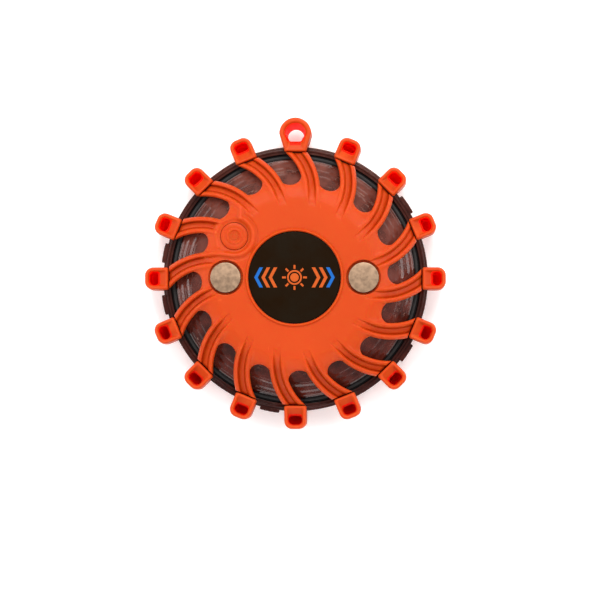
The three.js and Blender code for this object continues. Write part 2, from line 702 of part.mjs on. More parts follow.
function powerButton() {
  const radius = BUTTON_DIAMETER / 2;
  return turned([
    [0, plungerTop + TOUCH_GAP],
    [STEM_RADIUS, plungerTop + TOUCH_GAP],
    [STEM_RADIUS, buttonUnderside],
    [radius, buttonUnderside],
    [radius, buttonTop],
    [BUTTON_MARK_RADIUS, buttonTop],
    [BUTTON_MARK_RADIUS - BUTTON_MARK_HEIGHT, buttonTop + BUTTON_MARK_HEIGHT],
    [0, buttonTop + BUTTON_MARK_HEIGHT],
  ], MID_ROUND_STEPS);
}

function buttonSeal() {
  const inner = STEM_RADIUS + SLIDE_GAP;
  return ring(inner, inner + SEAL_WALL, caseCeiling, caseTop - TOUCH_GAP, SMALL_ROUND_STEPS);
}

function switchBody() {
  const well = plungerTop - PLUNGER_LENGTH - BUTTON_TRAVEL - SLIDE_GAP;
  return block(SWITCH_SIDE, SWITCH_SIDE, seatOnBoard, switchTop).subtract(
    disc(PLUNGER_RADIUS + SLIDE_GAP, well, HEIGHT, SMALL_ROUND_STEPS),
  );
}

function switchPlunger() {
  return disc(PLUNGER_RADIUS, plungerTop - PLUNGER_LENGTH, plungerTop, SMALL_ROUND_STEPS);
}

// ---- Board, lights and battery ----

function mainBoard() {
  const caseHole = disc(frontPostRadius + TOUCH_GAP, 0, HEIGHT, SMALL_ROUND_STEPS);
  const screwHole = disc(BOARD_SCREW_RADIUS + TOUCH_GAP, 0, HEIGHT, SMALL_ROUND_STEPS);
  return cut(disc(boardRadius, boardBottom, boardTop), [
    ...casePosts.map((spot) => moved(caseHole, spot)),
    ...boardPosts.map((spot) => moved(screwHole, spot)),
  ]);
}

// A round LED body with a domed end, along +Z from its base.
function lightBody() {
  const brim = LED_RADIUS + TOUCH_GAP / 2;
  const points = [[0, 0], [brim, 0], [brim, LED_RADIUS / 2], [LED_RADIUS, LED_RADIUS / 2]];
  const dome = [0, 1, 2].map((i) => {
    const angle = (i * Math.PI) / 4;
    const top = LED_LENGTH - LED_RADIUS;
    return [LED_RADIUS * Math.cos(angle), top + LED_RADIUS * Math.sin(angle)];
  });
  dome[dome.length - 1][0] = 0;
  return turned([...points, ...dome], SMALL_ROUND_STEPS / 2);
}

function sideLight() {
  const brim = LED_RADIUS + TOUCH_GAP / 2;
  return lightBody().rotate([0, 90, 0]).translate([ledRingRadius, 0, seatOnBoard + brim]);
}

function frontLight() {
  return lightBody().rotate([180, 0, 0])
    .translate([FRONT_LED_RING_RADIUS, 0, boardBottom - TOUCH_GAP]);
}

// A white dish under the board with a hole for each front LED and each post.
function reflector() {
  const top = boardBottom - TOUCH_GAP;
  const outer = FRONT_LED_RING_RADIUS + REFLECTOR_REACH;
  const inner = FRONT_LED_RING_RADIUS - REFLECTOR_REACH;
  const flare = REFLECTOR_LIP / 3;
  const wall = REFLECTOR_THICKNESS;
  const dish = turned([
    [inner, top - REFLECTOR_LIP],
    [inner + wall / 2, top - REFLECTOR_LIP],
    [inner + flare + wall / 2, top - wall],
    [outer - flare - wall / 2, top - wall],
    [outer - wall / 2, top - REFLECTOR_LIP],
    [outer, top - REFLECTOR_LIP],
    [outer - flare / 2, top],
    [inner + flare / 2, top],
    [inner, top - REFLECTOR_LIP],
  ], ringSteps / 2);
  const light = disc(LED_RADIUS + 2 * TOUCH_GAP, 0, HEIGHT, SMALL_ROUND_STEPS / 2)
    .translate([FRONT_LED_RING_RADIUS, 0, 0]);
  const lights = frontLightAngles.map((angle) => turnedBy(light, angle));
  const post = disc(frontPostRadius + TOUCH_GAP, 0, HEIGHT, SMALL_ROUND_STEPS);
  const stud = disc(boardPostRadius + TOUCH_GAP, 0, HEIGHT, SMALL_ROUND_STEPS);
  return cut(dish, [
    ...lights,
    ...casePosts.map((spot) => moved(post, spot)),
    ...boardPosts.map((spot) => moved(stud, spot)),
  ]);
}

function batteryCradle() {
  const outerWidth = CELL_WIDTH + 2 * (CRADLE_WALL + TOUCH_GAP);
  const floorTop = seatOnBoard + CRADLE_FLOOR;
  return block(CELL_LENGTH, outerWidth, seatOnBoard, floorTop + CRADLE_DEPTH).subtract(
    block(CELL_LENGTH + OVERCUT, CELL_WIDTH + 2 * TOUCH_GAP, floorTop, HEIGHT),
  );
}

// A flat pouch with its long edges pinched in.
function batteryCell() {
  const halfWidth = CELL_WIDTH / 2;
  const halfHeight = CELL_THICKNESS / 2;
  const pinch = CELL_THICKNESS / 4;
  const section = new THREE.Shape();
  section.moveTo(-halfWidth, -halfHeight + pinch);
  section.lineTo(-halfWidth + pinch, -halfHeight);
  section.lineTo(halfWidth - pinch, -halfHeight);
  section.lineTo(halfWidth, -halfHeight + pinch);
  section.lineTo(halfWidth, halfHeight - pinch);
  section.lineTo(halfWidth - pinch, halfHeight);
  section.lineTo(-halfWidth + pinch, halfHeight);
  section.lineTo(-halfWidth, halfHeight - pinch);
  const lying = prism(section, -CELL_LENGTH / 2, CELL_LENGTH / 2).rotate([90, 0, 90]);
  return lying.translate([0, 0, (cellBottom + cellTop) / 2]);
}

// A bent strip from the end of the cell down to the board.
function batteryTab(side) {
  const start = CELL_LENGTH / 2 + TOUCH_GAP;
  const high = (cellBottom + cellTop) / 2;
  const section = new THREE.Shape([
    new THREE.Vector2(start, seatOnBoard),
    new THREE.Vector2(start + TAB_FOOT, seatOnBoard),
    new THREE.Vector2(start + TAB_FOOT, seatOnBoard + TAB_THICKNESS),
    new THREE.Vector2(start + TAB_THICKNESS, seatOnBoard + TAB_THICKNESS),
    new THREE.Vector2(start + TAB_THICKNESS, high),
    new THREE.Vector2(start, high),
  ]);
  const upright = prism(section, -TAB_WIDTH / 2, TAB_WIDTH / 2).rotate([90, 0, 0]);
  return upright.translate([0, (side * TAB_SPACING) / 2, 0]);
}

function foamPad() {
  const low = cellTop + TOUCH_GAP;
  return block(CELL_LENGTH - 2 * FOAM_MARGIN, CELL_WIDTH - 2 * FOAM_MARGIN,
    low, caseCeiling - TOUCH_GAP);
}

function screw(radius, headRadius, headHeight, length, seat) {
  return turned([
    [0, seat - length],
    [radius / 2, seat - length],
    [radius, seat - length + radius],
    [radius, seat],
    [headRadius, seat],
    [headRadius, seat + headHeight * 0.6],
    [headRadius * 0.6, seat + headHeight],
    [0, seat + headHeight],
  ], SMALL_ROUND_STEPS);
}

function caseScrew() {
  return screw(CASE_SCREW_RADIUS, CASE_SCREW_HEAD_RADIUS, CASE_SCREW_HEAD_HEIGHT,
    CASE_SCREW_LENGTH, rearPostBottom + POST_SEAT + TOUCH_GAP);
}

function boardScrew() {
  return screw(BOARD_SCREW_RADIUS, BOARD_SCREW_HEAD_RADIUS, BOARD_SCREW_HEAD_HEIGHT,
    BOARD_SCREW_LENGTH, seatOnBoard);
}

const frontLightAngles = [...Array(FRONT_LED_COUNT).keys()].map(
  (i) => (i * 2 * Math.PI) / FRONT_LED_COUNT,
);

// ---- Assembly ----

const FINISHES = {
  orangeRubber: { color: 0xee5a28, roughness: 0.5, metalness: 0 },
  clearCase: { color: 0x4b2c29, roughness: 0.08, metalness: 0 },
  blackRubber: { color: 0x0c0a09, roughness: 0.7, metalness: 0 },
  labelPrint: { color: 0x1c150f, roughness: 0.35, metalness: 0 },
  nickel: { color: 0xb3a183, roughness: 0.35, metalness: 0.9 },
  steel: { color: 0x8f8f92, roughness: 0.4, metalness: 1 },
  brass: { color: 0xb79a55, roughness: 0.35, metalness: 1 },
  board: { color: 0x1f3a28, roughness: 0.5, metalness: 0 },
  whitePlastic: { color: 0xe6e4de, roughness: 0.4, metalness: 0 },
  blackPlastic: { color: 0x161616, roughness: 0.5, metalness: 0 },
  pouch: { color: 0x9da3a8, roughness: 0.45, metalness: 0.4 },
  foam: { color: 0x2b2b2d, roughness: 0.95, metalness: 0 },
  ledRed: { color: 0xa02820, roughness: 0.1, metalness: 0 },
};

const group = new THREE.Group();
group.position.y = -(eyeTipRadius - bumperRadius) / 2;

// A named mesh of one solid, at a spot and an angle in plan.
function addPart(name, manifold, finish, spot = new THREE.Vector2(), angle = 0) {
  const material = new THREE.MeshStandardMaterial(FINISHES[finish]);
  const mesh = new THREE.Mesh(geometryOf(manifold), material);
  mesh.name = name;
  mesh.position.set(spot.x, spot.y, 0);
  mesh.rotation.z = angle;
  group.add(mesh);
}

addPart('front_guard', frontGuard(), 'orangeRubber');
addPart('hanging_eye', hangingEye(), 'orangeRubber');
addPart('rear_guard', rearGuard(), 'orangeRubber');
addPart('front_lens', frontLens(), 'clearCase');
addPart('rear_shell', rearShell(), 'clearCase');
addPart('rim_gasket', rimGasket(), 'blackRubber');
addPart('label_disc', labelDisc(), 'labelPrint');
for (const [side, x] of Object.entries(magnetSpots)) {
  const spot = new THREE.Vector2(x, 0);
  addPart(`magnet_${side}`, magnet(), 'nickel', spot);
  addPart(`keeper_plate_${side}`, keeperPlate(), 'steel', spot);
  addPart(`charge_contact_${side}`, chargeContact(), 'brass', spot);
}
addPart('power_button', powerButton(), 'orangeRubber', buttonAt);
addPart('button_seal', buttonSeal(), 'blackRubber', buttonAt);
addPart('switch_body', switchBody(), 'blackPlastic', buttonAt, BUTTON_ANGLE);
addPart('switch_plunger', switchPlunger(), 'whitePlastic', buttonAt);
addPart('main_pcb', mainBoard(), 'board');
addPart('reflector', reflector(), 'whitePlastic');
addPart('battery_cell', batteryCell(), 'pouch');
addPart('battery_cradle', batteryCradle(), 'blackPlastic');
addPart('battery_tab_positive', batteryTab(1), 'nickel');
addPart('battery_tab_negative', batteryTab(-1), 'nickel');
addPart('foam_pad', foamPad(), 'foam');

const chipSpot = new THREE.Vector2(0, -(boardScrewRadius - CHIP_SIDE));
const coilSpot = new THREE.Vector2(0, boardScrewRadius - CHIP_SIDE);
addPart('controller_chip',
  block(CHIP_SIDE, CHIP_SIDE, seatOnBoard, seatOnBoard + CHIP_THICKNESS), 'blackPlastic', chipSpot);
addPart('inductor',
  disc(INDUCTOR_RADIUS, seatOnBoard, seatOnBoard + INDUCTOR_HEIGHT, SMALL_ROUND_STEPS),
  'blackPlastic', coilSpot);

casePosts.forEach((spot, i) => addPart(`case_screw_${i + 1}`, caseScrew(), 'steel', spot));
boardPosts.forEach((spot, i) => addPart(`pcb_screw_${i + 1}`, boardScrew(), 'steel', spot));
const middle = new THREE.Vector2();
allSlots.forEach((slot) => {
  const name = `led_side_${String(slot + 1).padStart(2, '0')}`;
  addPart(name, sideLight(), 'ledRed', middle, slot * pitch);
});
frontLightAngles.forEach((angle, i) => {
  addPart(`led_front_${String(i + 1).padStart(2, '0')}`, frontLight(), 'ledRed', middle, angle);
});

export default group;
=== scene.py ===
"""LED safety flare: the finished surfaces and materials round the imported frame.

The flare lies on its front guard with the rear face, its magnets and its button upwards.
Sizes in the functions are millimetres from the case's axis; make_piece turns them into metres.
"""

import math

import bmesh
import bpy
import numpy as np
from bpy.props import FloatProperty, FloatVectorProperty, PointerProperty
from bpy.types import Operator, Panel, PropertyGroup
from mathutils import Matrix, Vector


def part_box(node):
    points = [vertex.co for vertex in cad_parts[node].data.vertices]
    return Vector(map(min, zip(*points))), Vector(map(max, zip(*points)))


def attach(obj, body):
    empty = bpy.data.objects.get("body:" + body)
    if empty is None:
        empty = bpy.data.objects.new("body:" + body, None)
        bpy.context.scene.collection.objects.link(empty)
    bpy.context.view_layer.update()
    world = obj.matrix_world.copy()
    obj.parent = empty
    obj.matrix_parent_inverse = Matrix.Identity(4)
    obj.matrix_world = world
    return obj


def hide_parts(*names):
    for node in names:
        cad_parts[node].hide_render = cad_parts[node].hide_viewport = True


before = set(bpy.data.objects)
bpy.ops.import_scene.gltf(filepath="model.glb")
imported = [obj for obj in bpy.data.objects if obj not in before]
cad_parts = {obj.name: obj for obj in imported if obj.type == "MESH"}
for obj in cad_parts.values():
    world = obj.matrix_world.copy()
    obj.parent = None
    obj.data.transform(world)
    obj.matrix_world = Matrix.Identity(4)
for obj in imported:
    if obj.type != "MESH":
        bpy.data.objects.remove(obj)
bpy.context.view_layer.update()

bl_info = {
    "name": "LED safety flare",
    "version": (1, 0, 0),
    "blender": (4, 5, 0),
    "location": "3D View > Sidebar > Flare",
    "description": "Builds the guards, case, lights and stage of a round safety flare",
    "category": "Add Mesh",
}

MM = 0.001
TURN = 2 * math.pi


# ---- Places read from the frame, in millimetres from the case's axis ----


def middle_of(node):
    """Middle of a node's box: the mean of its lowest and highest corners."""
    low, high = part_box(node)
    return (np.array(low) + np.array(high)) / 2 / MM


def size_of(node):
    """Size of a node's box: its highest corner less its lowest."""
    low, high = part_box(node)
    return (np.array(high) - np.array(low)) / MM


def bottom_of(node):
    """Height of a node's lowest point."""
    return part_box(node)[0].z / MM


def top_of(node):
    """Height of a node's highest point."""
    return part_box(node)[1].z / MM


AXIS = middle_of("label_disc") * [1, 1, 0]


def spot_of(node):
    """A node's middle in plan, measured from the case's axis."""
    return (middle_of(node) - AXIS)[:2]


RIM_RADIUS = size_of("front_lens")[0] / 2
LABEL_RADIUS = size_of("label_disc")[0] / 2
MAGNET_RADIUS = size_of("magnet_left")[0] / 2
MAGNET_X = spot_of("magnet_right")[0]
MAGNET_TOP = top_of("magnet_left")
MAGNET_BOTTOM = bottom_of("magnet_left")
BUTTON_SPOT = spot_of("power_button")
BUTTON_RADIUS = size_of("power_button")[0] / 2
BOARD_RADIUS = size_of("main_pcb")[0] / 2
BOARD_LOW = bottom_of("main_pcb")
BOARD_HIGH = top_of("main_pcb")
GASKET_RADIUS = size_of("rim_gasket")[0] / 2 - 0.7
CASE_TOP = bottom_of("label_disc") - 0.3
LENS_FACE = bottom_of("front_lens")
PARTING = bottom_of("rear_shell")
HEIGHT = top_of("rear_guard")

# Guard plan, tied to the rim and the magnet wells
GAP = 0.3
ARM_COUNT = 16
PITCH = TURN / ARM_COUNT
EYE_SLOT = ARM_COUNT // 4
GUARD_TOP = HEIGHT - 0.8
LABEL_WELL = LABEL_RADIUS + GAP
MAGNET_WELL = MAGNET_RADIUS + 0.95
BUTTON_WELL = BUTTON_RADIUS + GAP
WINDOW_RADIUS = MAGNET_X + MAGNET_WELL + 3.0
SHOULDER = WINDOW_RADIUS + 3.8
FLAT_RADIUS = WINDOW_RADIUS - 5.2
SEAM_RADIUS = RIM_RADIUS - 2.4
BUMPER_RADIUS = RIM_RADIUS + 7.5
BUMPER_TOP = PARTING + 9.35
BUMPER_LOW = BUMPER_TOP - 19.0
ARM_HALF = 3.45
HUB_RADIUS = 30.0
BEND_START = WINDOW_RADIUS - 3.6
ARM_RISE = (SEAM_RADIUS - BEND_START) * math.tan(math.radians(20.9))
ROOT_Y = -ARM_RISE - 0.42
BEND_RADIUS = ((SEAM_RADIUS - BEND_START) ** 2 + ARM_RISE**2) / (2 * ARM_RISE)
BEND_Y = ROOT_Y + BEND_RADIUS
SHOULDER_RADIUS = RIM_RADIUS - 5.5
FLANGE_TOP = PARTING + 3.0
LENS_FLANGE_TOP = PARTING - GAP
LENS_FLANGE_LOW = LENS_FLANGE_TOP - 3.0
DOME_EDGE = FLANGE_TOP + 2.85
DOME_FLAT = FLAT_RADIUS + 1.05
LENS_RADIUS = 36.0
WALL = 2.0


# ---- Sizes and colours that a user would change ----


def length(name, description, default):
    """A length property in metres."""
    return FloatProperty(name=name, description=description, default=default, unit="LENGTH")


def colour(name, description, default):
    """A linear colour property."""
    return FloatVectorProperty(
        name=name, description=description, default=default, subtype="COLOR", size=3, min=0, max=1
    )


class FlareSizes(PropertyGroup):
    """Sizes of the moulded detail."""

    rib_height: length("Rib height", "Height of an arm's ribs above its channel", 0.0019)
    rib_width: length("Rib width", "Width of a rib", 0.0020)
    edge_round: length("Edge rounding", "Radius on the guards' outer edges", 0.00085)
    ridge_height: length("Ridge height", "Height of the ridge round the button", 0.0008)
    ring_depth: length("Ring depth", "Depth of the turned rings on the rear dome", 0.00012)
    glyph_height: length("Glyph height", "Height of the mark on the button", 0.00016)
    print_height: length("Print height", "Thickness of the label's print", 0.00006)


class FlareColours(PropertyGroup):
    """Colours of the finishes."""

    rubber: colour("Guard rubber", "Moulded orange elastomer", (0.485, 0.045, 0.001))
    case: colour("Case", "Smoked clear plastic", (0.135, 0.024, 0.015))
    label: colour("Label", "Gloss label", (0.010, 0.0045, 0.0015))
    print: colour("Print", "Orange print on the label", (0.45, 0.075, 0.010))
    nickel: colour("Magnet", "Nickel plating on the magnets", (0.35, 0.228, 0.146))
    board: colour("Board", "Solder mask", (0.012, 0.075, 0.035))
    floor: colour("Floor", "Studio floor", (0.98, 0.98, 0.98))


def sizes(name):
    """A size property in millimetres."""
    return getattr(bpy.context.scene.flare_sizes, name) / MM


def colours(name):
    """A colour property as red, green, blue and alpha."""
    return (*getattr(bpy.context.scene.flare_colours, name), 1.0)


# ---- Mesh helpers ----


def smooth(x, low, high):
    """0 below low, 1 above high, and the cubic 3t^2 - 2t^3 between them."""
    t = np.clip((np.asarray(x, float) - low) / (high - low), 0, 1)
    return t * t * (3 - 2 * t)


def soft_line(x, corners, spread):
    """A line through corners, averaged over plus or minus spread, which rounds its bends."""
    places, heights = np.array(corners, float).T
    shifts = np.linspace(-spread, spread, 15)
    weights = 1 - np.abs(shifts) / (spread * 1.2)
    around = np.interp(np.asarray(x, float)[..., None] + shifts, places, heights)
    return (around * weights).sum(-1) / weights.sum()


def turned_about(points, angle):
    """Points turned in plan by an angle about the case's axis."""
    c, s = math.cos(angle), math.sin(angle)
    x, y = points[..., 0], points[..., 1]
    return np.stack([c * x - s * y, s * x + c * y, *np.moveaxis(points[..., 2:], -1, 0)], -1)


def rounded(corners, steps=5):
    """A profile of (radius, height, fillet) corners, each fillet an arc tangent to its two sides."""
    made = []
    last = len(corners) - 1
    for i, (x, y, fillet) in enumerate(corners):
        here = np.array([x, y], float)
        if fillet <= 0 or i in (0, last):
            made.append(here[None])
            continue
        before = np.array(corners[i - 1][:2], float) - here
        after = np.array(corners[i + 1][:2], float) - here
        before, after = before / np.linalg.norm(before), after / np.linalg.norm(after)
        half = math.acos(np.clip(before @ after, -1, 1)) / 2
        reach = fillet / math.tan(half)
        centre = here + (before + after) / np.linalg.norm(before + after) * fillet / math.sin(half)
        start, end = here + before * reach - centre, here + after * reach - centre
        sweep = np.linspace(0, 1, steps + 1)[:, None]
        open_angle = math.pi - 2 * half
        arc = np.sin((1 - sweep) * open_angle) * start + np.sin(sweep * open_angle) * end
        made.append(centre + arc / math.sin(open_angle))
    return np.concatenate(made)


def loft(rows, closed=False):
    """Closed loops of points, row by row, joined by quads; open ends get one flat face each."""
    count, around = rows.shape[:2]
    number = np.arange(count * around).reshape(count, around)
    beside = np.roll(number, -1, axis=1)
    if closed:
        above, corner = np.roll(number, -1, axis=0), np.roll(beside, -1, axis=0)
    else:
        number, above, beside, corner = number[:-1], number[1:], beside[:-1], beside[1:]
    faces = np.stack([number, beside, corner, above], -1).reshape(-1, 4).tolist()
    if not closed:
        ends = np.arange(count * around).reshape(count, around)
        faces += [ends[0][::-1].tolist(), ends[-1].tolist()]
    return rows.reshape(-1, 3), faces


def lathe(profile, steps=96, spot=(0, 0), closed=False):
    """A profile of radii r and heights z turned about Z: x = r cos a, y = r sin a, z = z."""
    angle = np.linspace(0, TURN, steps, endpoint=False)
    radius, height = profile[:, :1], profile[:, 1:2]
    rows = np.stack(
        [radius * np.cos(angle), radius * np.sin(angle), height + 0 * angle], axis=-1
    )
    return loft(rows + [spot[0], spot[1], 0], closed=closed)


def ring_of(inner, outer, low, high, fillet=0.2, steps=96, spot=(0, 0)):
    """A turned ring with rounded edges."""
    loop = rounded([
        ((inner + outer) / 2, low, 0), (outer, low, fillet), (outer, high, fillet),
        (inner, high, fillet), (inner, low, fillet), ((inner + outer) / 2, low, 0),
    ], 3)
    return lathe(loop[:-1], steps, spot, closed=True)


def rod(radius, low, high, fillet=0.2, steps=32, spot=(0, 0)):
    """A turned rod with rounded edges."""
    profile = rounded([(0, low, 0), (radius, low, fillet), (radius, high, fillet), (0, high, 0)], 3)
    return lathe(profile, steps, spot)


def joined(parts):
    """Several closed surfaces as one list of vertices and faces."""
    vertices, faces, count = [], [], 0
    for points, loops in parts:
        vertices.append(points)
        faces += [[corner + count for corner in loop] for loop in loops]
        count += len(points)
    return np.concatenate(vertices), faces


def shade(mesh):
    """Smooth faces, with a sharp edge where two faces meet at more than 38 degrees."""
    mesh.shade_smooth()
    mesh.set_sharp_from_angle(angle=math.radians(38))


def make_piece(name, parts, material, body="case", nodes=()):
    """A finished piece from closed surfaces: doubles merged, faces outwards, on its body."""
    points, faces = joined(parts)
    mesh = bpy.data.meshes.new(name)
    mesh.from_pydata(((points + AXIS) * MM).tolist(), [], faces)
    whole = bmesh.new()
    whole.from_mesh(mesh)
    bmesh.ops.remove_doubles(whole, verts=whole.verts, dist=1e-7)
    bmesh.ops.dissolve_degenerate(whole, edges=whole.edges, dist=1e-8)
    bmesh.ops.recalc_face_normals(whole, faces=whole.faces)
    whole.to_mesh(mesh)
    whole.free()
    shade(mesh)
    mesh.materials.append(material)
    piece = bpy.data.objects.new(name, mesh)
    bpy.context.scene.collection.objects.link(piece)
    if body:
        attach(piece, body)
    if nodes:
        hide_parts(*nodes)
    return piece


def line_hollows(piece, material):
    """Gives the walls of the bumpers' pockets and of the eye's hole a second material, the redder copy
    with a painted glow and a painted shade towards -Y: the faces whose middle, in the frame of their own
    arm slot, lies inside the pocket or the hole."""
    mesh = piece.data
    mesh.materials.append(material)
    middles = np.empty(len(mesh.polygons) * 3)
    mesh.polygons.foreach_get("center", middles)
    middles = middles.reshape(-1, 3) / MM - AXIS
    radius = np.hypot(middles[:, 0], middles[:, 1])
    angle = np.arctan2(middles[:, 1], middles[:, 0])
    turn = (angle + PITCH / 2) % PITCH - PITCH / 2
    along, aside = radius * np.cos(turn), np.abs(radius * np.sin(turn))
    pocket = (aside < 3.0) & (along > SEAM_RADIUS + 3.7) & (along < BUMPER_RADIUS - 1.7)
    pocket &= (middles[:, 2] < BUMPER_TOP - 1.0) & (middles[:, 2] > BUMPER_LOW + 3)
    at_eye = np.round(angle / PITCH) == EYE_SLOT
    hole = at_eye & (np.hypot(along - RIM_RADIUS - 5.2, aside) < 4.45)
    chosen = np.where(at_eye, hole, pocket).astype(np.int32)
    mesh.polygons.foreach_set("material_index", chosen)
    mesh.update()


def carve(piece, tools):
    """A piece less its cutting tools, worked out once and kept as its mesh."""
    for tool in tools:
        cutter = piece.modifiers.new(tool.name, "BOOLEAN")
        cutter.operation = "DIFFERENCE"
        cutter.solver = "EXACT"
        cutter.object = tool
    bpy.context.view_layer.update()
    seen = piece.evaluated_get(bpy.context.evaluated_depsgraph_get())
    mesh = bpy.data.meshes.new_from_object(seen)
    piece.modifiers.clear()
    piece.data = mesh
    shade(mesh)
    for tool in tools:
        bpy.data.objects.remove(tool)


def finish_nodes(material, *nodes):
    """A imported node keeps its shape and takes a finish."""
    for node in nodes:
        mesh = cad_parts[node].data
        mesh.materials.clear()
        mesh.materials.append(material)


# ---- Materials ----


class Nodes:
    """A small builder of shader nodes in one material."""

    def __init__(self, name):
        self.material = bpy.data.materials.new(name)
        self.material.use_nodes = True
        self.tree = self.material.node_tree
        self.shader = self.tree.nodes["Principled BSDF"]
        self.place = self.tree.nodes.new("ShaderNodeTexCoord").outputs["Object"]

    def add(self, kind, values=None, **settings):
        """A node with its settings and socket values; a value that is a socket is linked."""
        node = self.tree.nodes.new(kind)
        for key, value in settings.items():
            setattr(node, key, value)
        for key, value in (values or {}).items():
            self.put(node.inputs[key], value)
        return node

    def put(self, socket, value):
        """Links a socket, or sets its constant."""
        if isinstance(value, bpy.types.NodeSocket):
            self.tree.links.new(value, socket)
        else:
            socket.default_value = value

    def noise(self, scale, detail=3.0, roughness=0.5, place=None):
        """Noise of about one blob every 1/scale metres."""
        values = {"Scale": scale, "Detail": detail, "Roughness": roughness}
        values["Vector"] = place or self.place
        return self.add("ShaderNodeTexNoise", values).outputs["Fac"]

    def stretched(self, scale):
        """Object coordinates scaled differently along each axis."""
        node = self.add("ShaderNodeMapping", {"Vector": self.place, "Scale": scale})
        return node.outputs["Vector"]

    def ramp(self, value, low, high, start=0.0, end=1.0):
        """A value mapped from low..high to start..end."""
        values = {"Value": value, "From Min": low, "From Max": high, "To Min": start, "To Max": end}
        return self.add("ShaderNodeMapRange", values).outputs["Result"]

    def blend(self, share, first, second):
        """Two colours mixed by a share: 0 is the first, 1 the second."""
        node = self.add("ShaderNodeMix", data_type="RGBA")
        self.put(node.inputs[0], share)
        self.put(node.inputs[6], first)
        self.put(node.inputs[7], second)
        return node.outputs[2]

    def combine(self, first, second, operation="ADD"):
        """Two values added, multiplied or compared, by the operation's name."""
        return self.add("ShaderNodeMath", {0: first, 1: second}, operation=operation).outputs[0]

    def bumps(self, *layers):
        """Bump layers, each a height, a strength and a distance in metres."""
        normal = None
        for height, strength, distance in layers:
            node = self.add(
                "ShaderNodeBump", {"Height": height, "Strength": strength, "Distance": distance}
            )
            if normal:
                self.put(node.inputs["Normal"], normal)
            normal = node.outputs["Normal"]
        self.put(self.shader.inputs["Normal"], normal)

    def finish(self, **values):
        """Sets the shader's sockets; an underscore in a name stands for a space."""
        for key, value in values.items():
            self.put(self.shader.inputs[key.replace("_", " ")], value)
        return self.material


def darker(rgba, share):
    """A colour scaled by a share, with its alpha kept."""
    return (*[c * share for c in rgba[:3]], 1.0)


def orange_rubber():
    """Satin elastomer: slight tone drift, a fine spark-eroded grain, paler sharp edges that are partly
    wear and partly a painted highlight along the crests, and dust.
    """
    n = Nodes("orange_rubber")
    base = colours("rubber")
    drift = n.ramp(n.noise(45, 2.0), 0.3, 0.7)
    tone = n.blend(drift, darker(base, 0.93), base)
    # Paler where the surface is sharply convex: partly wear, partly a painted highlight along rib crests
    # and edges.
    edge = n.add("ShaderNodeNewGeometry").outputs["Pointiness"]
    edge_highlight_and_wear = n.ramp(edge, 0.51, 0.58, 0.0, 0.40)
    tone = n.blend(edge_highlight_and_wear, tone, (0.60, 0.085, 0.012, 1))
    scuff = n.ramp(n.noise(260, 5.0, 0.65), 0.60, 0.75, 0.0, 0.06)
    tone = n.blend(scuff, tone, (0.55, 0.15, 0.06, 1))
    grain = n.noise(3200, 2.0, 0.6)
    pores = n.noise(900, 3.0, 0.5)
    rough = n.combine(n.ramp(pores, 0.3, 0.7, 0.44, 0.56), n.ramp(drift, 0, 1, -0.03, 0.03))
    n.bumps((pores, 0.10, 0.0002), (grain, 0.12, 0.00008))
    return n.finish(
        Base_Color=tone, Roughness=rough, Subsurface_Weight=0.35, Subsurface_Scale=0.0030,
        Subsurface_Radius=(1.0, 0.10, 0.02), Specular_IOR_Level=0.18,
    )


def pocket_glow_rubber():
    """The same elastomer in the pockets and the eye's hole: light from outside glows red through the
    thin wall, its redder colour partly a painted glow, and it is darker towards -Y, a painted shade on
    the lower pockets.
    """
    n = Nodes("pocket_glow_rubber")
    drift = n.noise(200, 3.0)
    # A redder copy of the rubber: its saturated red is partly a painted glow of the light through the
    # wall.
    tone = n.blend(n.ramp(drift, 0.3, 0.7), (0.93, 0.010, 0.001, 1), (1.0, 0.016, 0.002, 1))
    # Darker towards -Y: painted shade on the lower pockets, which the key light from +Y doesn't reach.
    across = n.add("ShaderNodeSeparateXYZ", {0: n.place}).outputs[1]
    tone = n.blend(n.ramp(across, -0.030, 0.000), (0.66, 0.012, 0.002, 1), tone)
    n.bumps((n.noise(900, 3.0), 0.10, 0.0002))
    return n.finish(
        Base_Color=tone, Roughness=n.ramp(drift, 0.3, 0.7, 0.5, 0.6), Subsurface_Weight=1.0,
        Subsurface_Scale=0.006, Subsurface_Radius=(1.0, 0.03, 0.01), Specular_IOR_Level=0.15,
    )


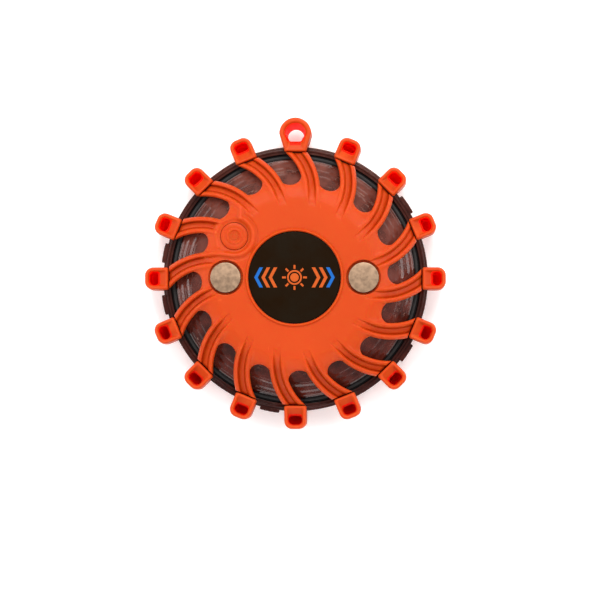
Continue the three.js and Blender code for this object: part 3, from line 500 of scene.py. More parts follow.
def smoked_case():
    """Smoked clear plastic: cloudy brown depth, pale streaks round the axis that are a painted
    highlight, paler towards +Y as painted light, a darker rim and a near-black gasket groove that are
    painted shade, and light handling scratches."""
    n = Nodes("smoked_case")
    base = colours("case")
    split = n.add("ShaderNodeSeparateXYZ", {0: n.place})
    across = n.combine(split.outputs[1], -AXIS[1] * MM)
    plan = n.add("ShaderNodeCombineXYZ", {0: split.outputs[0], 1: across})
    from_axis = n.add("ShaderNodeVectorMath", {0: plan.outputs[0]}, operation="LENGTH")
    radius = from_axis.outputs["Value"]
    cloud = n.noise(130, 4.0, 0.6)
    tone = n.blend(n.ramp(cloud, 0.38, 0.60), darker(base, 0.40), base)
    warped = n.combine(radius, n.combine(cloud, 0.0035, "MULTIPLY"))
    rings = n.add("ShaderNodeCombineXYZ", {0: warped, 1: n.combine(cloud, 0.01, "MULTIPLY")})
    ring_noise = n.noise(900, 2.0, 0.5, rings.outputs[0])
    patch = n.ramp(n.noise(75, 3.0, 0.6), 0.45, 0.62)
    # Pale streaks round the axis: painted highlight streaks, standing in for reflections of the lights.
    painted_streak_highlight = n.combine(n.ramp(ring_noise, 0.58, 0.70, 0.0, 0.80), patch, "MULTIPLY")
    # Paler towards +Y in the cloudy parts: painted light where the key light falls on the upper windows.
    cloudy = n.ramp(cloud, 0.36, 0.62, 0.40, 1.0)
    painted_top_light = n.combine(n.ramp(across, -0.030, 0.050, 0.0, 0.62), cloudy, "MULTIPLY")
    # Painted light towards +Y, then painted highlight streaks, over the cloudy tone.
    tone = n.blend(painted_top_light, tone, (0.30, 0.105, 0.075, 1))
    tone = n.blend(painted_streak_highlight, tone, (0.34, 0.19, 0.15, 1))
    # Darker from 50 mm out to the rim: painted shade in the thick flange.
    rim = n.ramp(radius, 0.0500, 0.0515)
    tone = n.blend(n.combine(rim, 0.75, "MULTIPLY"), tone, darker(base, 0.12))
    # Near black over the gasket groove: painted shade in the groove, standing in also for the black
    # gasket under the clear wall.
    groove_start, groove_end = n.ramp(radius, 0.0496, 0.0504), n.ramp(radius, 0.0532, 0.0527)
    groove = n.combine(groove_start, groove_end, "MULTIPLY")
    tone = n.blend(groove, tone, (0.006, 0.003, 0.003, 1))
    fine = n.noise(1400, 4.0, 0.7)
    rough = n.ramp(fine, 0.45, 0.75, 0.08, 0.22)
    n.bumps((cloud, 0.30, 0.0006), (ring_noise, 0.10, 0.0002), (fine, 0.04, 0.00005))
    # The painted rim shade and groove shade are also made nearly opaque.
    clear = n.ramp(n.combine(rim, groove, "MAXIMUM"), 0.0, 1.0, 0.40, 0.04)
    return n.finish(
        Base_Color=tone, Roughness=rough, Transmission_Weight=clear, IOR=1.5,
        Specular_IOR_Level=0.20,
    )


def gloss_label():
    """Gloss black label film: faint mottle, hairline scratches and a soft clear coat."""
    n = Nodes("gloss_label")
    base = colours("label")
    mottle = n.ramp(n.noise(120, 3.0), 0.35, 0.65)
    tone = n.blend(mottle, base, (0.010, 0.006, 0.003, 1))
    hair = n.noise(700, 5.0, 0.7)
    n.bumps((hair, 0.02, 0.00003))
    return n.finish(
        Base_Color=tone, Roughness=n.ramp(hair, 0.45, 0.7, 0.20, 0.30), Specular_IOR_Level=0.03,
    )


def label_ink(name, base):
    """Screen print: slightly uneven ink with a dull surface."""
    n = Nodes(name)
    speck = n.noise(2600, 3.0, 0.6)
    tone = n.blend(n.ramp(speck, 0.35, 0.65), darker(base, 0.86), base)
    n.bumps((speck, 0.06, 0.00003))
    rough = n.ramp(speck, 0.3, 0.7, 0.38, 0.5)
    return n.finish(Base_Color=tone, Roughness=rough, Specular_IOR_Level=0.12)


def nickel_plate():
    """Nickel plating gone dull: mottled stains, fine lapping lines and small pits."""
    n = Nodes("nickel_plate")
    base = colours("nickel")
    stain = n.noise(420, 5.0, 0.62)
    tone = n.blend(n.ramp(stain, 0.38, 0.62), darker(base, 0.76), darker(base, 1.08))
    pit = n.noise(1500, 3.0, 0.6)
    tone = n.blend(n.ramp(pit, 0.63, 0.72, 0.0, 0.5), tone, (0.16, 0.11, 0.07, 1))
    lap = n.noise(1800, 4.0, 0.6, n.stretched((0.08, 1.0, 1.0)))
    n.bumps((pit, 0.12, 0.00006), (lap, 0.08, 0.00004))
    return n.finish(
        Base_Color=tone, Metallic=0.78, Roughness=n.ramp(stain, 0.3, 0.7, 0.34, 0.52),
    )


def metal(name, base, rough):
    """Drawn or plated metal: tone drift, drawing lines and uneven polish."""
    n = Nodes(name)
    drift = n.noise(180, 4.0, 0.6)
    tone = n.blend(n.ramp(drift, 0.35, 0.65), darker(base, 0.78), base)
    lines = n.noise(1200, 3.0, 0.6, n.stretched((0.1, 1.0, 1.0)))
    n.bumps((lines, 0.10, 0.00005))
    return n.finish(
        Base_Color=tone, Metallic=1.0, Roughness=n.ramp(lines, 0.3, 0.7, rough, rough + 0.16)
    )


def plastic(name, base, rough, grain=1500, bump=0.10):
    """Moulded plastic: soft tone drift and a fine eroded grain."""
    n = Nodes(name)
    drift = n.noise(150, 3.0)
    tone = n.blend(n.ramp(drift, 0.3, 0.7), darker(base, 0.85), base)
    pores = n.noise(grain, 3.0, 0.6)
    n.bumps((pores, bump, 0.0001))
    return n.finish(Base_Color=tone, Roughness=n.ramp(pores, 0.3, 0.7, rough, rough + 0.12))


def solder_mask():
    """Circuit board: green mask over copper runs and ground fill, with glass weave under it."""
    n = Nodes("solder_mask")
    base = colours("board")
    cells = {"Vector": n.place, "Scale": 260.0, "Randomness": 0.55}
    runs = n.add("ShaderNodeTexVoronoi", cells, feature="DISTANCE_TO_EDGE", distance="EUCLIDEAN")
    run = n.ramp(runs.outputs["Distance"], 0.05, 0.08, 1.0, 0.0)
    tone = n.blend(run, base, (0.03, 0.16, 0.07, 1))
    vias = n.add("ShaderNodeTexVoronoi", {"Vector": n.place, "Scale": 330.0}, feature="F1")
    via = n.ramp(vias.outputs["Distance"], 0.10, 0.14, 1.0, 0.0)
    tone = n.blend(via, tone, (0.45, 0.33, 0.12, 1))
    weave = n.noise(2400, 2.0, 0.5, n.stretched((1.0, 0.25, 1.0)))
    n.bumps((run, 0.25, 0.00006), (weave, 0.05, 0.00004))
    return n.finish(Base_Color=tone, Roughness=n.ramp(weave, 0.3, 0.7, 0.25, 0.38))


def led_epoxy():
    """Tinted clear epoxy: pale red, denser in the core, with small bubbles."""
    n = Nodes("led_epoxy")
    core = n.noise(500, 3.0, 0.5)
    tone = n.blend(n.ramp(core, 0.35, 0.65), (0.75, 0.12, 0.07, 1), (0.95, 0.45, 0.35, 1))
    n.bumps((n.noise(1800, 2.0), 0.05, 0.00005))
    return n.finish(
        Base_Color=tone, Roughness=n.ramp(core, 0.3, 0.7, 0.06, 0.14), Transmission_Weight=0.6,
        IOR=1.52,
    )


def foil_pouch():
    """Crinkled aluminium laminate of a flat cell."""
    n = Nodes("foil_pouch")
    crinkle = n.noise(240, 5.0, 0.62)
    tone = n.blend(n.ramp(crinkle, 0.3, 0.7), (0.36, 0.38, 0.40, 1), (0.55, 0.56, 0.58, 1))
    n.bumps((crinkle, 0.35, 0.0004), (n.noise(2200, 2.0), 0.08, 0.00004))
    return n.finish(
        Base_Color=tone, Metallic=0.7, Roughness=n.ramp(crinkle, 0.3, 0.7, 0.30, 0.46)
    )


def open_foam():
    """Open-cell foam: the cells painted darker than their walls, a painted shade in the pores."""
    n = Nodes("open_foam")
    cells = n.add("ShaderNodeTexVoronoi", {"Vector": n.place, "Scale": 1400.0}, feature="F1")
    depth = cells.outputs["Distance"]
    # Darker in the hollow of each cell: painted shade in the pores.
    tone = n.blend(n.ramp(depth, 0.1, 0.6), (0.010, 0.010, 0.011, 1), (0.060, 0.060, 0.065, 1))
    n.bumps((depth, 0.8, 0.0004))
    return n.finish(Base_Color=tone, Roughness=n.ramp(depth, 0.1, 0.6, 0.98, 0.86))


def studio_floor():
    """Matt painted board: barely uneven white."""
    n = Nodes("studio_floor")
    base = colours("floor")
    drift = n.noise(9, 3.0)
    tone = n.blend(n.ramp(drift, 0.3, 0.7), darker(base, 0.985), base)
    n.bumps((n.noise(900, 3.0), 0.03, 0.0002))
    return n.finish(
        Base_Color=tone, Roughness=n.ramp(drift, 0.3, 0.7, 0.75, 0.82),
        Emission_Color=(1.0, 1.0, 1.0, 1.0), Emission_Strength=0.24,
    )


FINISHES = {}


def finish(name, make, *values):
    """A finish made once and shared by the pieces that wear it."""
    if name not in FINISHES:
        FINISHES[name] = make(*values)
    return FINISHES[name]


def rubber():
    """Orange elastomer of the guards and the button."""
    return finish("rubber", orange_rubber)


def seal_rubber():
    """Black silicone of the gasket and the button's seal."""
    return finish("seal_rubber", plastic, "seal_rubber", (0.006, 0.005, 0.005, 1), 0.6)


def black_plastic():
    """Black plastic of the switch, the chip and the cradle."""
    return finish("black_plastic", plastic, "black_plastic", (0.014, 0.014, 0.015, 1), 0.42)


def steel():
    """Zinc-plated steel of the screws, the keepers and the cell's tabs."""
    return finish("steel", metal, "steel", (0.42, 0.43, 0.45, 1), 0.30)


def brass():
    """Brass of the charging contacts."""
    return finish("brass", metal, "brass", (0.62, 0.43, 0.17, 1), 0.28)


# ---- Arms in plan, in the frame of a bumper that points along +X ----


def arm_line(offset, radius):
    """Where a line offset from an arm's centreline crosses a circle about the case's axis.

    The line is straight at the arm's root and then an arc; the arc's crossing comes from the
    cosine rule between the circle and the bend's circle."""
    offset, radius = np.broadcast_arrays(np.asarray(offset, float), np.asarray(radius, float))
    bend = BEND_RADIUS - offset
    reach = math.hypot(BEND_START, BEND_Y)
    lift = (radius**2 - reach**2 - bend**2) / (2 * bend)
    angle = math.atan2(BEND_Y, BEND_START) + np.arcsin(np.clip(lift / reach, -1, 1))
    curved = np.stack([BEND_START + bend * np.sin(angle), BEND_Y - bend * np.cos(angle)], -1)
    level = ROOT_Y + offset
    along = np.sqrt(np.maximum(radius**2 - level**2, 0))
    straight = np.stack([along, level], -1)
    return np.where((along < BEND_START)[..., None], straight, curved)


def arm_bend(offset, share, end_x):
    """A point on an offset line between the shoulder radius, share 0, and a given x, share 1."""
    start = arm_line(offset, SHOULDER)
    bend = BEND_RADIUS - np.asarray(offset, float)
    first = np.arcsin((start[..., 0] - BEND_START) / bend)
    last = np.arcsin((end_x - BEND_START) / bend)
    angle = first + (last - first) * share
    return np.stack([BEND_START + bend * np.sin(angle), BEND_Y - bend * np.cos(angle)], -1)


def arm_offsets(points):
    """Signed distance of points from the centreline of each of the arms, in one column per arm."""
    angles = -PITCH * np.arange(ARM_COUNT)
    c, s = np.cos(angles), np.sin(angles)
    x = points[:, :1] * c - points[:, 1:2] * s
    y = points[:, :1] * s + points[:, 1:2] * c
    on_bend = BEND_RADIUS - np.hypot(x - BEND_START, y - BEND_Y)
    offset = np.where(x < BEND_START, y - ROOT_Y, on_bend)
    return np.where(x > 0, offset, 1e3)


def window_end(shares):
    """The rounded inner end of a window: a cubic curve from an arm's left edge to the next arm's
    right edge, with both handles pointing at the case's axis."""
    first = arm_line(ARM_HALF, SHOULDER)
    last = turned_about(arm_line(-ARM_HALF, SHOULDER), PITCH)
    reach = (SHOULDER - WINDOW_RADIUS) * 4 / 3
    t = shares[:, None]
    inner_first = first * (1 - reach / np.linalg.norm(first))
    inner_last = last * (1 - reach / np.linalg.norm(last))
    return (
        (1 - t) ** 3 * first + 3 * (1 - t) ** 2 * t * inner_first
        + 3 * (1 - t) * t**2 * inner_last + t**3 * last
    )


# ---- Rear guard ----

HALF_OFFSETS = np.array([
    0, 0.04, 0.13, 0.28, 0.48, 0.72, 0.98, 1.25, 1.48, 1.62, 1.74, 1.86, 1.98, 2.10, 2.22, 2.38,
    2.6, 3.0
])
ROOT_ROWS = np.concatenate([np.linspace(0, 0.92, 21), [0.945, 0.965, 0.98, 0.992, 1.0]])
ARM_ROWS = np.concatenate([np.linspace(0, 0.95, 24)[1:], [0.965, 0.98, 0.99, 0.997, 1.0]])
HALF_WEB = np.array([0, 0.02, 0.045, 0.075, 0.11, 0.16, 0.22, 0.30, 0.40])
HUB_ROWS = 26
ARM_END_X = SEAM_RADIUS - 0.45


def guard_plan():
    """The rear guard's plan as quads: sixteen arm strips in offset and radius, the web between
    two strips as a Coons patch up to the window's end, and the hub as rings."""
    offsets = np.concatenate([HALF_OFFSETS - ARM_HALF, [0], (ARM_HALF - HALF_OFFSETS)[::-1]])
    radii = HUB_RADIUS + (SHOULDER - HUB_RADIUS) * ROOT_ROWS
    root = arm_line(offsets[None], radii[:, None])
    arm = arm_bend(offsets[None], ARM_ROWS[:, None], ARM_END_X)
    strip = np.concatenate([root, arm])
    left, right = root[:, -1], turned_about(root[:, 0], PITCH)
    across = np.concatenate([HALF_WEB, [0.5], 1 - HALF_WEB[::-1]])
    start, end = (math.atan2(p[1], p[0]) for p in (left[0], right[0]))
    arc_angle = start + (end - start) * across
    arc = HUB_RADIUS * np.stack([np.cos(arc_angle), np.sin(arc_angle)], -1)
    top = window_end(across)
    u, v = across[None, :, None], ROOT_ROWS[:, None, None]
    web = (
        (1 - u) * left[:, None] + u * right[:, None] + (1 - v) * arc[None] + v * top[None]
        - (1 - u) * (1 - v) * left[0] - u * (1 - v) * right[0]
        - (1 - u) * v * left[-1] - u * v * right[-1]
    )
    hub_line = np.concatenate([strip[0], arc[1:]])
    inwards = LABEL_WELL + (HUB_RADIUS - LABEL_WELL) * np.linspace(0, 1, HUB_ROWS) ** 1.25
    hub = hub_line[None] / HUB_RADIUS * inwards[:, None, None]
    points, quads, inside, count = [], [], [], 0
    for patch in (strip, web, hub):
        rows, columns = patch.shape[:2]
        number = np.arange(rows * columns).reshape(rows, columns)
        cells = [number[1:, :-1], number[1:, 1:], number[:-1, 1:], number[:-1, :-1]]
        quad = np.stack(cells, -1).reshape(-1, 4)
        flat = patch.reshape(-1, 2)
        reach = distance_to_edge(flat)
        for slot in range(ARM_COUNT):
            points.append(turned_about(flat, slot * PITCH))
            quads.append(quad + count)
            inside.append(reach)
            count += rows * columns
    points, quads, inside = (np.concatenate(rows) for rows in (points, quads, inside))
    _, first, place = np.unique(
        np.round(points, 5), axis=0, return_index=True, return_inverse=True
    )
    return points[first], place.reshape(-1)[quads], inside[first]


def window_outline():
    """Every free edge of the arms and windows as points, for measuring distance to it."""
    share = np.linspace(0, 1, 260)
    left = arm_bend(ARM_HALF, share, ARM_END_X)
    right = turned_about(arm_bend(-ARM_HALF, share, ARM_END_X), PITCH)
    tip = arm_bend(np.linspace(-ARM_HALF, ARM_HALF, 90), 1.0, ARM_END_X)
    one = np.concatenate([left, window_end(share), right, tip])
    return np.concatenate([turned_about(one, slot * PITCH) for slot in (-1, 0, 1)])


def distance_to_edge(points):
    """Distance from each point to the nearest sample of the free outline."""
    outline = window_outline()
    near = [
        np.sqrt(((chunk[:, None] - outline[None]) ** 2).sum(-1)).min(1)
        for chunk in np.array_split(points, 8)
    ]
    return np.concatenate(near)


RIDGE_RADIUS = 8.1
RIDGE_OFFSET = ARM_HALF - 0.75


def ridge_path():
    """The ridge round the button: from the rib above it, round the button's far side in an arc,
    and out along the rib below it."""
    angle = np.radians(np.linspace(72, -98, 40))
    arc = BUTTON_SPOT + RIDGE_RADIUS * np.stack([np.cos(angle), np.sin(angle)], -1)
    lead_in = turned_about(arm_line(RIDGE_OFFSET, np.array([42.0, 39.5, 37.0])), 6 * PITCH)
    tail = turned_about(arm_line(-RIDGE_OFFSET, np.array([33.5, 37.0, 41.0])), 8 * PITCH)
    corners = np.concatenate([lead_in, arc, tail])
    steps = np.concatenate([[0], np.cumsum(np.linalg.norm(np.diff(corners, axis=0), axis=1))])
    even = np.linspace(0, steps[-1], 240)
    return np.stack([np.interp(even, steps, corners[:, i]) for i in (0, 1)], -1)


def guard_height(points, inside):
    """Top surface of the rear guard.

    A soft cone falls from the flat hub to the seam. A flat channel runs along each arm between
    two ribs: its depth grows outwards from nothing on the hub, its walls are rounded steps and a
    fine crease runs along the foot of each wall. The web between two arms dips a little. A lip
    stands round the label, a ridge runs round the button, and every free edge is rounded by a
    quarter circle."""
    radius = np.linalg.norm(points, axis=1)
    cone = [(0, GUARD_TOP), (FLAT_RADIUS, GUARD_TOP), (WINDOW_RADIUS - 0.87, GUARD_TOP - 0.75),
            (SEAM_RADIUS, BUMPER_TOP + 0.3), (RIM_RADIUS, BUMPER_TOP - 0.7)]
    height = soft_line(radius, cone, 1.5)
    offset = np.abs(arm_offsets(points)).min(1)
    wall = ARM_HALF - sizes("rib_width")
    grow = 0.16 * smooth(radius, 30.8, 32.2) + 0.84 * smooth(radius, 32.2, 41.0)
    clear = np.linalg.norm(points - BUTTON_SPOT, axis=1)
    channel = sizes("rib_height") * (1 - smooth(offset, wall - 0.22, wall + 0.40))
    crease = 0.5 * np.exp(-(((offset - wall + 0.25) / 0.24) ** 2))
    middle = (wall + ARM_HALF) / 2
    crown = 0.62 * np.clip(((offset - middle) / (ARM_HALF - middle)) ** 2, 0, 1)
    web = 0.55 * smooth(offset, ARM_HALF - 0.3, ARM_HALF + 1.2)
    bowl = 1.0 * (1 - smooth(clear, 6.4, 8.0))
    cut = grow * smooth(clear, 8.2, 10.0) * (channel + crease)
    cut = cut + smooth(radius, 33.0, 42.0) * (web + crown)
    path = ridge_path()
    ridge_gap = np.sqrt(((points[:, None] - path[None, ::2]) ** 2).sum(-1)).min(1)
    crest = sizes("ridge_height")
    local = 1 - smooth(radius, 38.0, 41.0)
    groove = 0.5 * crest * (1 - smooth(np.abs(ridge_gap - 1.75), 0.1, 0.8)) * local
    fade = 1 - smooth(radius, 33.5, 39.5)
    ridge = crest * (0.9 * fade - 0.9 * ridge_gap**2) - 5 * (1 - local)
    height = height + np.maximum(-np.maximum(cut, np.maximum(bowl, groove)), ridge)
    lip = smooth(radius, LABEL_WELL - 0.05, LABEL_WELL + 0.35)
    lip = lip * (1 - smooth(radius, LABEL_WELL + 0.75, LABEL_WELL + 1.35))
    height = height + lip * (HEIGHT - GUARD_TOP)
    fillet = sizes("edge_round")
    inside = np.minimum(inside, fillet)
    return height - (fillet - np.sqrt(fillet**2 - (fillet - inside) ** 2))


def guard_underside(points):
    """Underside of the rear guard: the case's outline with a gap, down to the flange."""
    radius = np.linalg.norm(points, axis=1)
    case = [(0, CASE_TOP + GAP), (DOME_FLAT + GAP, CASE_TOP + GAP),
            (SHOULDER_RADIUS + GAP, DOME_EDGE + GAP),
            (SHOULDER_RADIUS + GAP + 0.25, FLANGE_TOP + GAP), (RIM_RADIUS, FLANGE_TOP + GAP)]
    return soft_line(radius, case, 0.05)


def rear_guard_plate():
    """The plan's quads at the top and underside heights, with a wall along every edge that only
    one quad uses."""
    points, quads, inside = guard_plan()
    count = len(points)
    top = np.column_stack([points, guard_height(points, inside)])
    under = np.column_stack([points, guard_underside(points)])
    edges = np.concatenate([quads[:, [i, (i + 1) % 4]] for i in range(4)])
    _, which, uses = np.unique(
        np.sort(edges, axis=1), axis=0, return_index=True, return_counts=True
    )
    free = edges[which[uses == 1]]
    walls = np.stack([free[:, 1], free[:, 0], free[:, 0] + count, free[:, 1] + count], -1)
    faces = quads.tolist() + (quads[:, ::-1] + count).tolist() + walls.tolist()
    return np.concatenate([top, under]), faces


def well_tool(name, radius, spot, bore, flare=0.45):
    """A cutter for a round well with a narrower bore, whose mouth opens by a quarter circle."""
    sweep = np.linspace(0, math.pi / 2, 6)
    mouth = np.stack([
        radius + flare * (1 - np.cos(sweep)), GUARD_TOP - flare + flare * np.sin(sweep)
    ], -1)
    profile = np.concatenate([
        [[0, CASE_TOP - 3], [bore, CASE_TOP - 3], [bore, GUARD_TOP - 1.9]],
        [[radius, GUARD_TOP - 1.7]], mouth,
        [[radius + flare, HEIGHT + 2], [0, HEIGHT + 2]],
    ])
    return make_piece(name, [lathe(profile, 72, spot)], rubber(), body=None)


class FlareRearGuard(Operator):
    """Rear guard with sixteen ribbed arms, round the label, the magnets and the button"""

    bl_idname = "flare.rear_guard"
    bl_label = "Rear guard"

    def execute(self, context):
        guard = make_piece(
            "rear_guard", [rear_guard_plate()], rubber(), nodes=["rear_guard"]
        )
        carve(guard, [
            well_tool("well_left", MAGNET_WELL, (-MAGNET_X, 0), MAGNET_RADIUS + 0.15),
            well_tool("well_right", MAGNET_WELL, (MAGNET_X, 0), MAGNET_RADIUS + 0.15),
            well_tool("well_button", BUTTON_WELL, BUTTON_SPOT, BUTTON_RADIUS + 0.25, 1.1),
        ])
        return {"FINISHED"}


# ---- Front guard: ring, arms, bumpers and eye ----


def slab_outline(inner, outer, half, inner_round, outer_round, steps=7):
    """A rounded rectangle along +X as four corner arcs, from its inner right corner on."""
    corners = [
        (inner + inner_round, -half + inner_round, inner_round, math.pi),
        (outer - outer_round, -half + outer_round, outer_round, 1.5 * math.pi),
        (outer - outer_round, half - outer_round, outer_round, 0.0),
        (inner + inner_round, half - inner_round, inner_round, 0.5 * math.pi),
    ]
    sweep = np.linspace(0, math.pi / 2, steps)
    arcs = [
        np.stack([x + r * np.cos(a + sweep), y + r * np.sin(a + sweep)], -1)
        for x, y, r, a in corners
    ]
    return np.concatenate(arcs)


def slab_rows(stations):
    """Rows of a loft from stations of outline values and a height."""
    return np.stack([
        np.column_stack([outline := slab_outline(*values), np.full(len(outline), height)])
        for *values, height in stations
    ])


def bumper():
    """A bumper as one closed loft: from its foot up the outer wall, which steps in over the
    flange, over the rounded rim, down the sloping sill and into the pocket."""
    low, high = BUMPER_LOW, BUMPER_TOP
    seam, tip, hook = SEAM_RADIUS, BUMPER_RADIUS, RIM_RADIUS + GAP
    return loft(slab_rows([
        (seam + 0.9, tip - 0.9, 3.80, 0.3, 2.2, low),
        (seam + 0.4, tip - 0.4, 4.30, 0.5, 2.8, low + 0.12),
        (seam + 0.1, tip - 0.1, 4.60, 0.7, 3.1, low + 0.42),
        (seam, tip, 4.70, 0.8, 3.3, low + 0.95),
        (seam, tip, 4.70, 0.8, 3.3, LENS_FLANGE_LOW - GAP),
        (hook, tip, 4.70, 0.4, 3.3, LENS_FLANGE_LOW - GAP + 0.02),
        (hook, tip, 4.70, 0.4, 3.3, FLANGE_TOP + GAP - 0.02),
        (seam, tip, 4.70, 0.8, 3.3, FLANGE_TOP + GAP),
        (seam, tip, 4.68, 0.8, 3.4, high - 1.35),
        (seam + 0.06, tip - 0.07, 4.61, 0.8, 3.4, high - 0.80),
        (seam + 0.18, tip - 0.26, 4.44, 0.8, 3.3, high - 0.36),
        (seam + 0.40, tip - 0.56, 4.14, 0.8, 3.0, high - 0.08),
        (seam + 0.66, tip - 0.88, 3.84, 0.8, 2.7, high),
        (seam + 0.92, tip - 1.18, 3.54, 0.8, 2.4, high - 0.06),
        (seam + 1.20, tip - 1.46, 3.30, 0.8, 2.2, high - 0.26),
        (seam + 1.90, tip - 1.64, 3.12, 0.9, 2.0, high - 0.80),
        (seam + 3.50, tip - 1.74, 2.98, 1.1, 1.9, high - 1.95),
        (seam + 4.10, tip - 1.80, 2.88, 1.3, 1.9, high - 2.45),
        (seam + 4.40, tip - 1.86, 2.80, 1.4, 1.8, high - 3.20),
        (seam + 4.60, tip - 2.00, 2.62, 1.4, 1.6, low + 4.1),
        (seam + 4.75, tip - 2.15, 2.45, 1.2, 1.4, low + 3.7),
        (seam + 5.10, tip - 2.50, 2.10, 0.9, 1.1, low + 3.5),
    ]))


def eye_outline(centre, radius, inner, inner_half, corner):
    """An eye in plan: a half circle about centre, straight sides to the inner end, and the
    inner end with rounded corners."""
    sweep = np.linspace(-math.pi / 2, math.pi / 2, 29)
    arc = np.stack([centre + radius * np.cos(sweep), radius * np.sin(sweep)], -1)
    share = np.linspace(0, 1, 8)[1:-1, None]
    shoulder = np.array([inner + corner, inner_half])
    left = arc[-1] + (shoulder - arc[-1]) * share
    turn = np.linspace(math.pi / 2, math.pi, 6)
    round_left = np.stack([
        inner + corner + corner * np.cos(turn), inner_half - corner + corner * np.sin(turn)
    ], -1)
    round_right = round_left[::-1] * [1, -1]
    right = left[::-1] * [1, -1]
    return np.concatenate([arc, left, round_left, round_right, right])


def hanging_eye():
    """The eye as a closed loft: up its outer wall, which steps in over the flange, over the rim,
    down the sill, through the hole and back under."""
    low, high = BUMPER_LOW, BUMPER_TOP
    seam, hook = SEAM_RADIUS, RIM_RADIUS + GAP
    centre = RIM_RADIUS + 5.2
    stations = [
        (0, 6.00, seam + 0.8, 4.0, 0.4, low), (0, 6.40, seam + 0.35, 4.35, 0.5, low + 0.12),
        (0, 6.70, seam + 0.08, 4.62, 0.6, low + 0.45), (0, 6.80, seam, 4.70, 0.7, low + 1.0),
        (0, 6.80, seam, 4.70, 0.7, LENS_FLANGE_LOW - GAP),
        (0, 6.80, hook, 5.20, 0.4, LENS_FLANGE_LOW - GAP + 0.02),
        (0, 6.80, hook, 5.20, 0.4, FLANGE_TOP + GAP - 0.02),
        (0, 6.80, seam, 4.70, 0.7, FLANGE_TOP + GAP), (0, 6.80, seam, 4.70, 0.7, high - 1.3),
        (0, 6.71, seam + 0.05, 4.62, 0.7, high - 0.75), (0, 6.48, seam + 0.2, 4.4, 0.7, high - 0.30),
        (0, 6.12, seam + 0.45, 4.10, 0.7, high - 0.06), (0, 5.75, seam + 0.7, 3.8, 0.6, high),
        (0, 5.38, seam + 1.0, 3.50, 0.6, high - 0.06), (0, 5.02, seam + 1.6, 3.25, 0.6, high - 0.3),
        (0, 4.74, seam + 2.6, 3.10, 0.7, high - 0.75),
        (0, 4.50, centre - 3.75, 2.95, 0.8, high - 1.5), (0, 4.36, centre - 3.4, 2.88, 0.9, high - 2.2),
        (0, 4.22, centre - 3.2, 2.80, 1.0, high - 3.8), (-0.7, 3.50, centre - 3.2, 2.7, 1.0, low + 4.0),
        (-0.7, 3.45, centre - 3.2, 2.7, 1.0, low + 0.9), (-0.5, 3.7, centre - 3.4, 2.8, 1.0, low + 0.35),
        (-0.3, 4.2, centre - 3.8, 3.1, 0.9, low),
    ]
    rows = np.stack([
        np.column_stack([outline := eye_outline(centre + shift, *values),
                         np.full(len(outline), height)])
        for shift, *values, height in stations
    ])
    return loft(rows, closed=True)


def front_arm(slot):
    """A front arm: a rounded section carried along the arm's centreline. Its top follows the
    lens with a gap, and its underside rises from the ring to the bumper's foot."""
    inner, outer = LENS_RADIUS - 3.5, SEAM_RADIUS + 1.6
    radius = np.linspace(inner, outer, 30)
    lens = [(0, LENS_FACE), (LENS_RADIUS, LENS_FACE), (SHOULDER_RADIUS, LENS_FLANGE_LOW),
            (RIM_RADIUS, LENS_FLANGE_LOW)]
    top = soft_line(radius, lens, 0.3) - GAP - 0.05
    under = soft_line(radius, [(0, 0.02), (LENS_RADIUS, 0.02), (SEAM_RADIUS, BUMPER_LOW),
                               (RIM_RADIUS, BUMPER_LOW)], 1.2)
    under = np.where(radius > SEAM_RADIUS - 1.0, np.maximum(under, BUMPER_LOW + 0.05), under)
    width, edge = 3.1, 0.8
    half = width * (1 - 0.05 * smooth(radius, inner, outer))
    sweep = np.linspace(0, math.pi / 2, 5)
    foot = np.stack([1 - edge / width * (1 - np.sin(sweep)), edge * (1 - np.cos(sweep))], -1)
    across = np.concatenate([foot[:, 0], [1.0, 0.0, -1.0], -foot[::-1, 0]])
    offset = half[:, None] * across[None]
    plan = arm_line(offset, radius[:, None])
    rise = np.concatenate([foot[:, 1], [0, 0, 0], foot[::-1, 1]])
    height = under[:, None] + rise[None]
    upper = slice(len(foot), len(foot) + 3)
    height[:, upper] = top[:, None]
    rows = np.concatenate([plan, height[..., None]], axis=-1)
    return loft(turned_about(rows, slot * PITCH))


def turned_part(part, slot):
    """A closed surface turned to an arm slot."""
    points, faces = part
    return turned_about(points, slot * PITCH), faces


class FlareFrontGuard(Operator):
    """Front guard: its ring, sixteen arms, fifteen bumpers and the hanging eye"""

    bl_idname = "flare.front_guard"
    bl_label = "Front guard"

    def execute(self, context):
        outer = LENS_RADIUS - GAP
        ring = rounded([
            (outer - 3.5, 0.0, 0), (outer, 0.0, 0.7), (outer, 2.7, 0.2), (outer - 7.0, 2.7, 0.2),
            (outer - 7.0, 0.0, 0.7), (outer - 3.5, 0.0, 0),
        ])
        parts = [lathe(ring[:-1], 128, closed=True)]
        block = bumper()
        for slot in range(ARM_COUNT):
            parts.append(front_arm(slot))
            parts.append(turned_part(hanging_eye() if slot == EYE_SLOT else block, slot))
        guard = make_piece("front_guard", parts, rubber(), nodes=["front_guard", "hanging_eye"])
        # The pockets and the eye's hole take the redder rubber: a painted glow, with painted shade
        # towards -Y.
        line_hollows(guard, finish("pocket_glow_rubber", pocket_glow_rubber))
        return {"FINISHED"}


# ---- Case ----


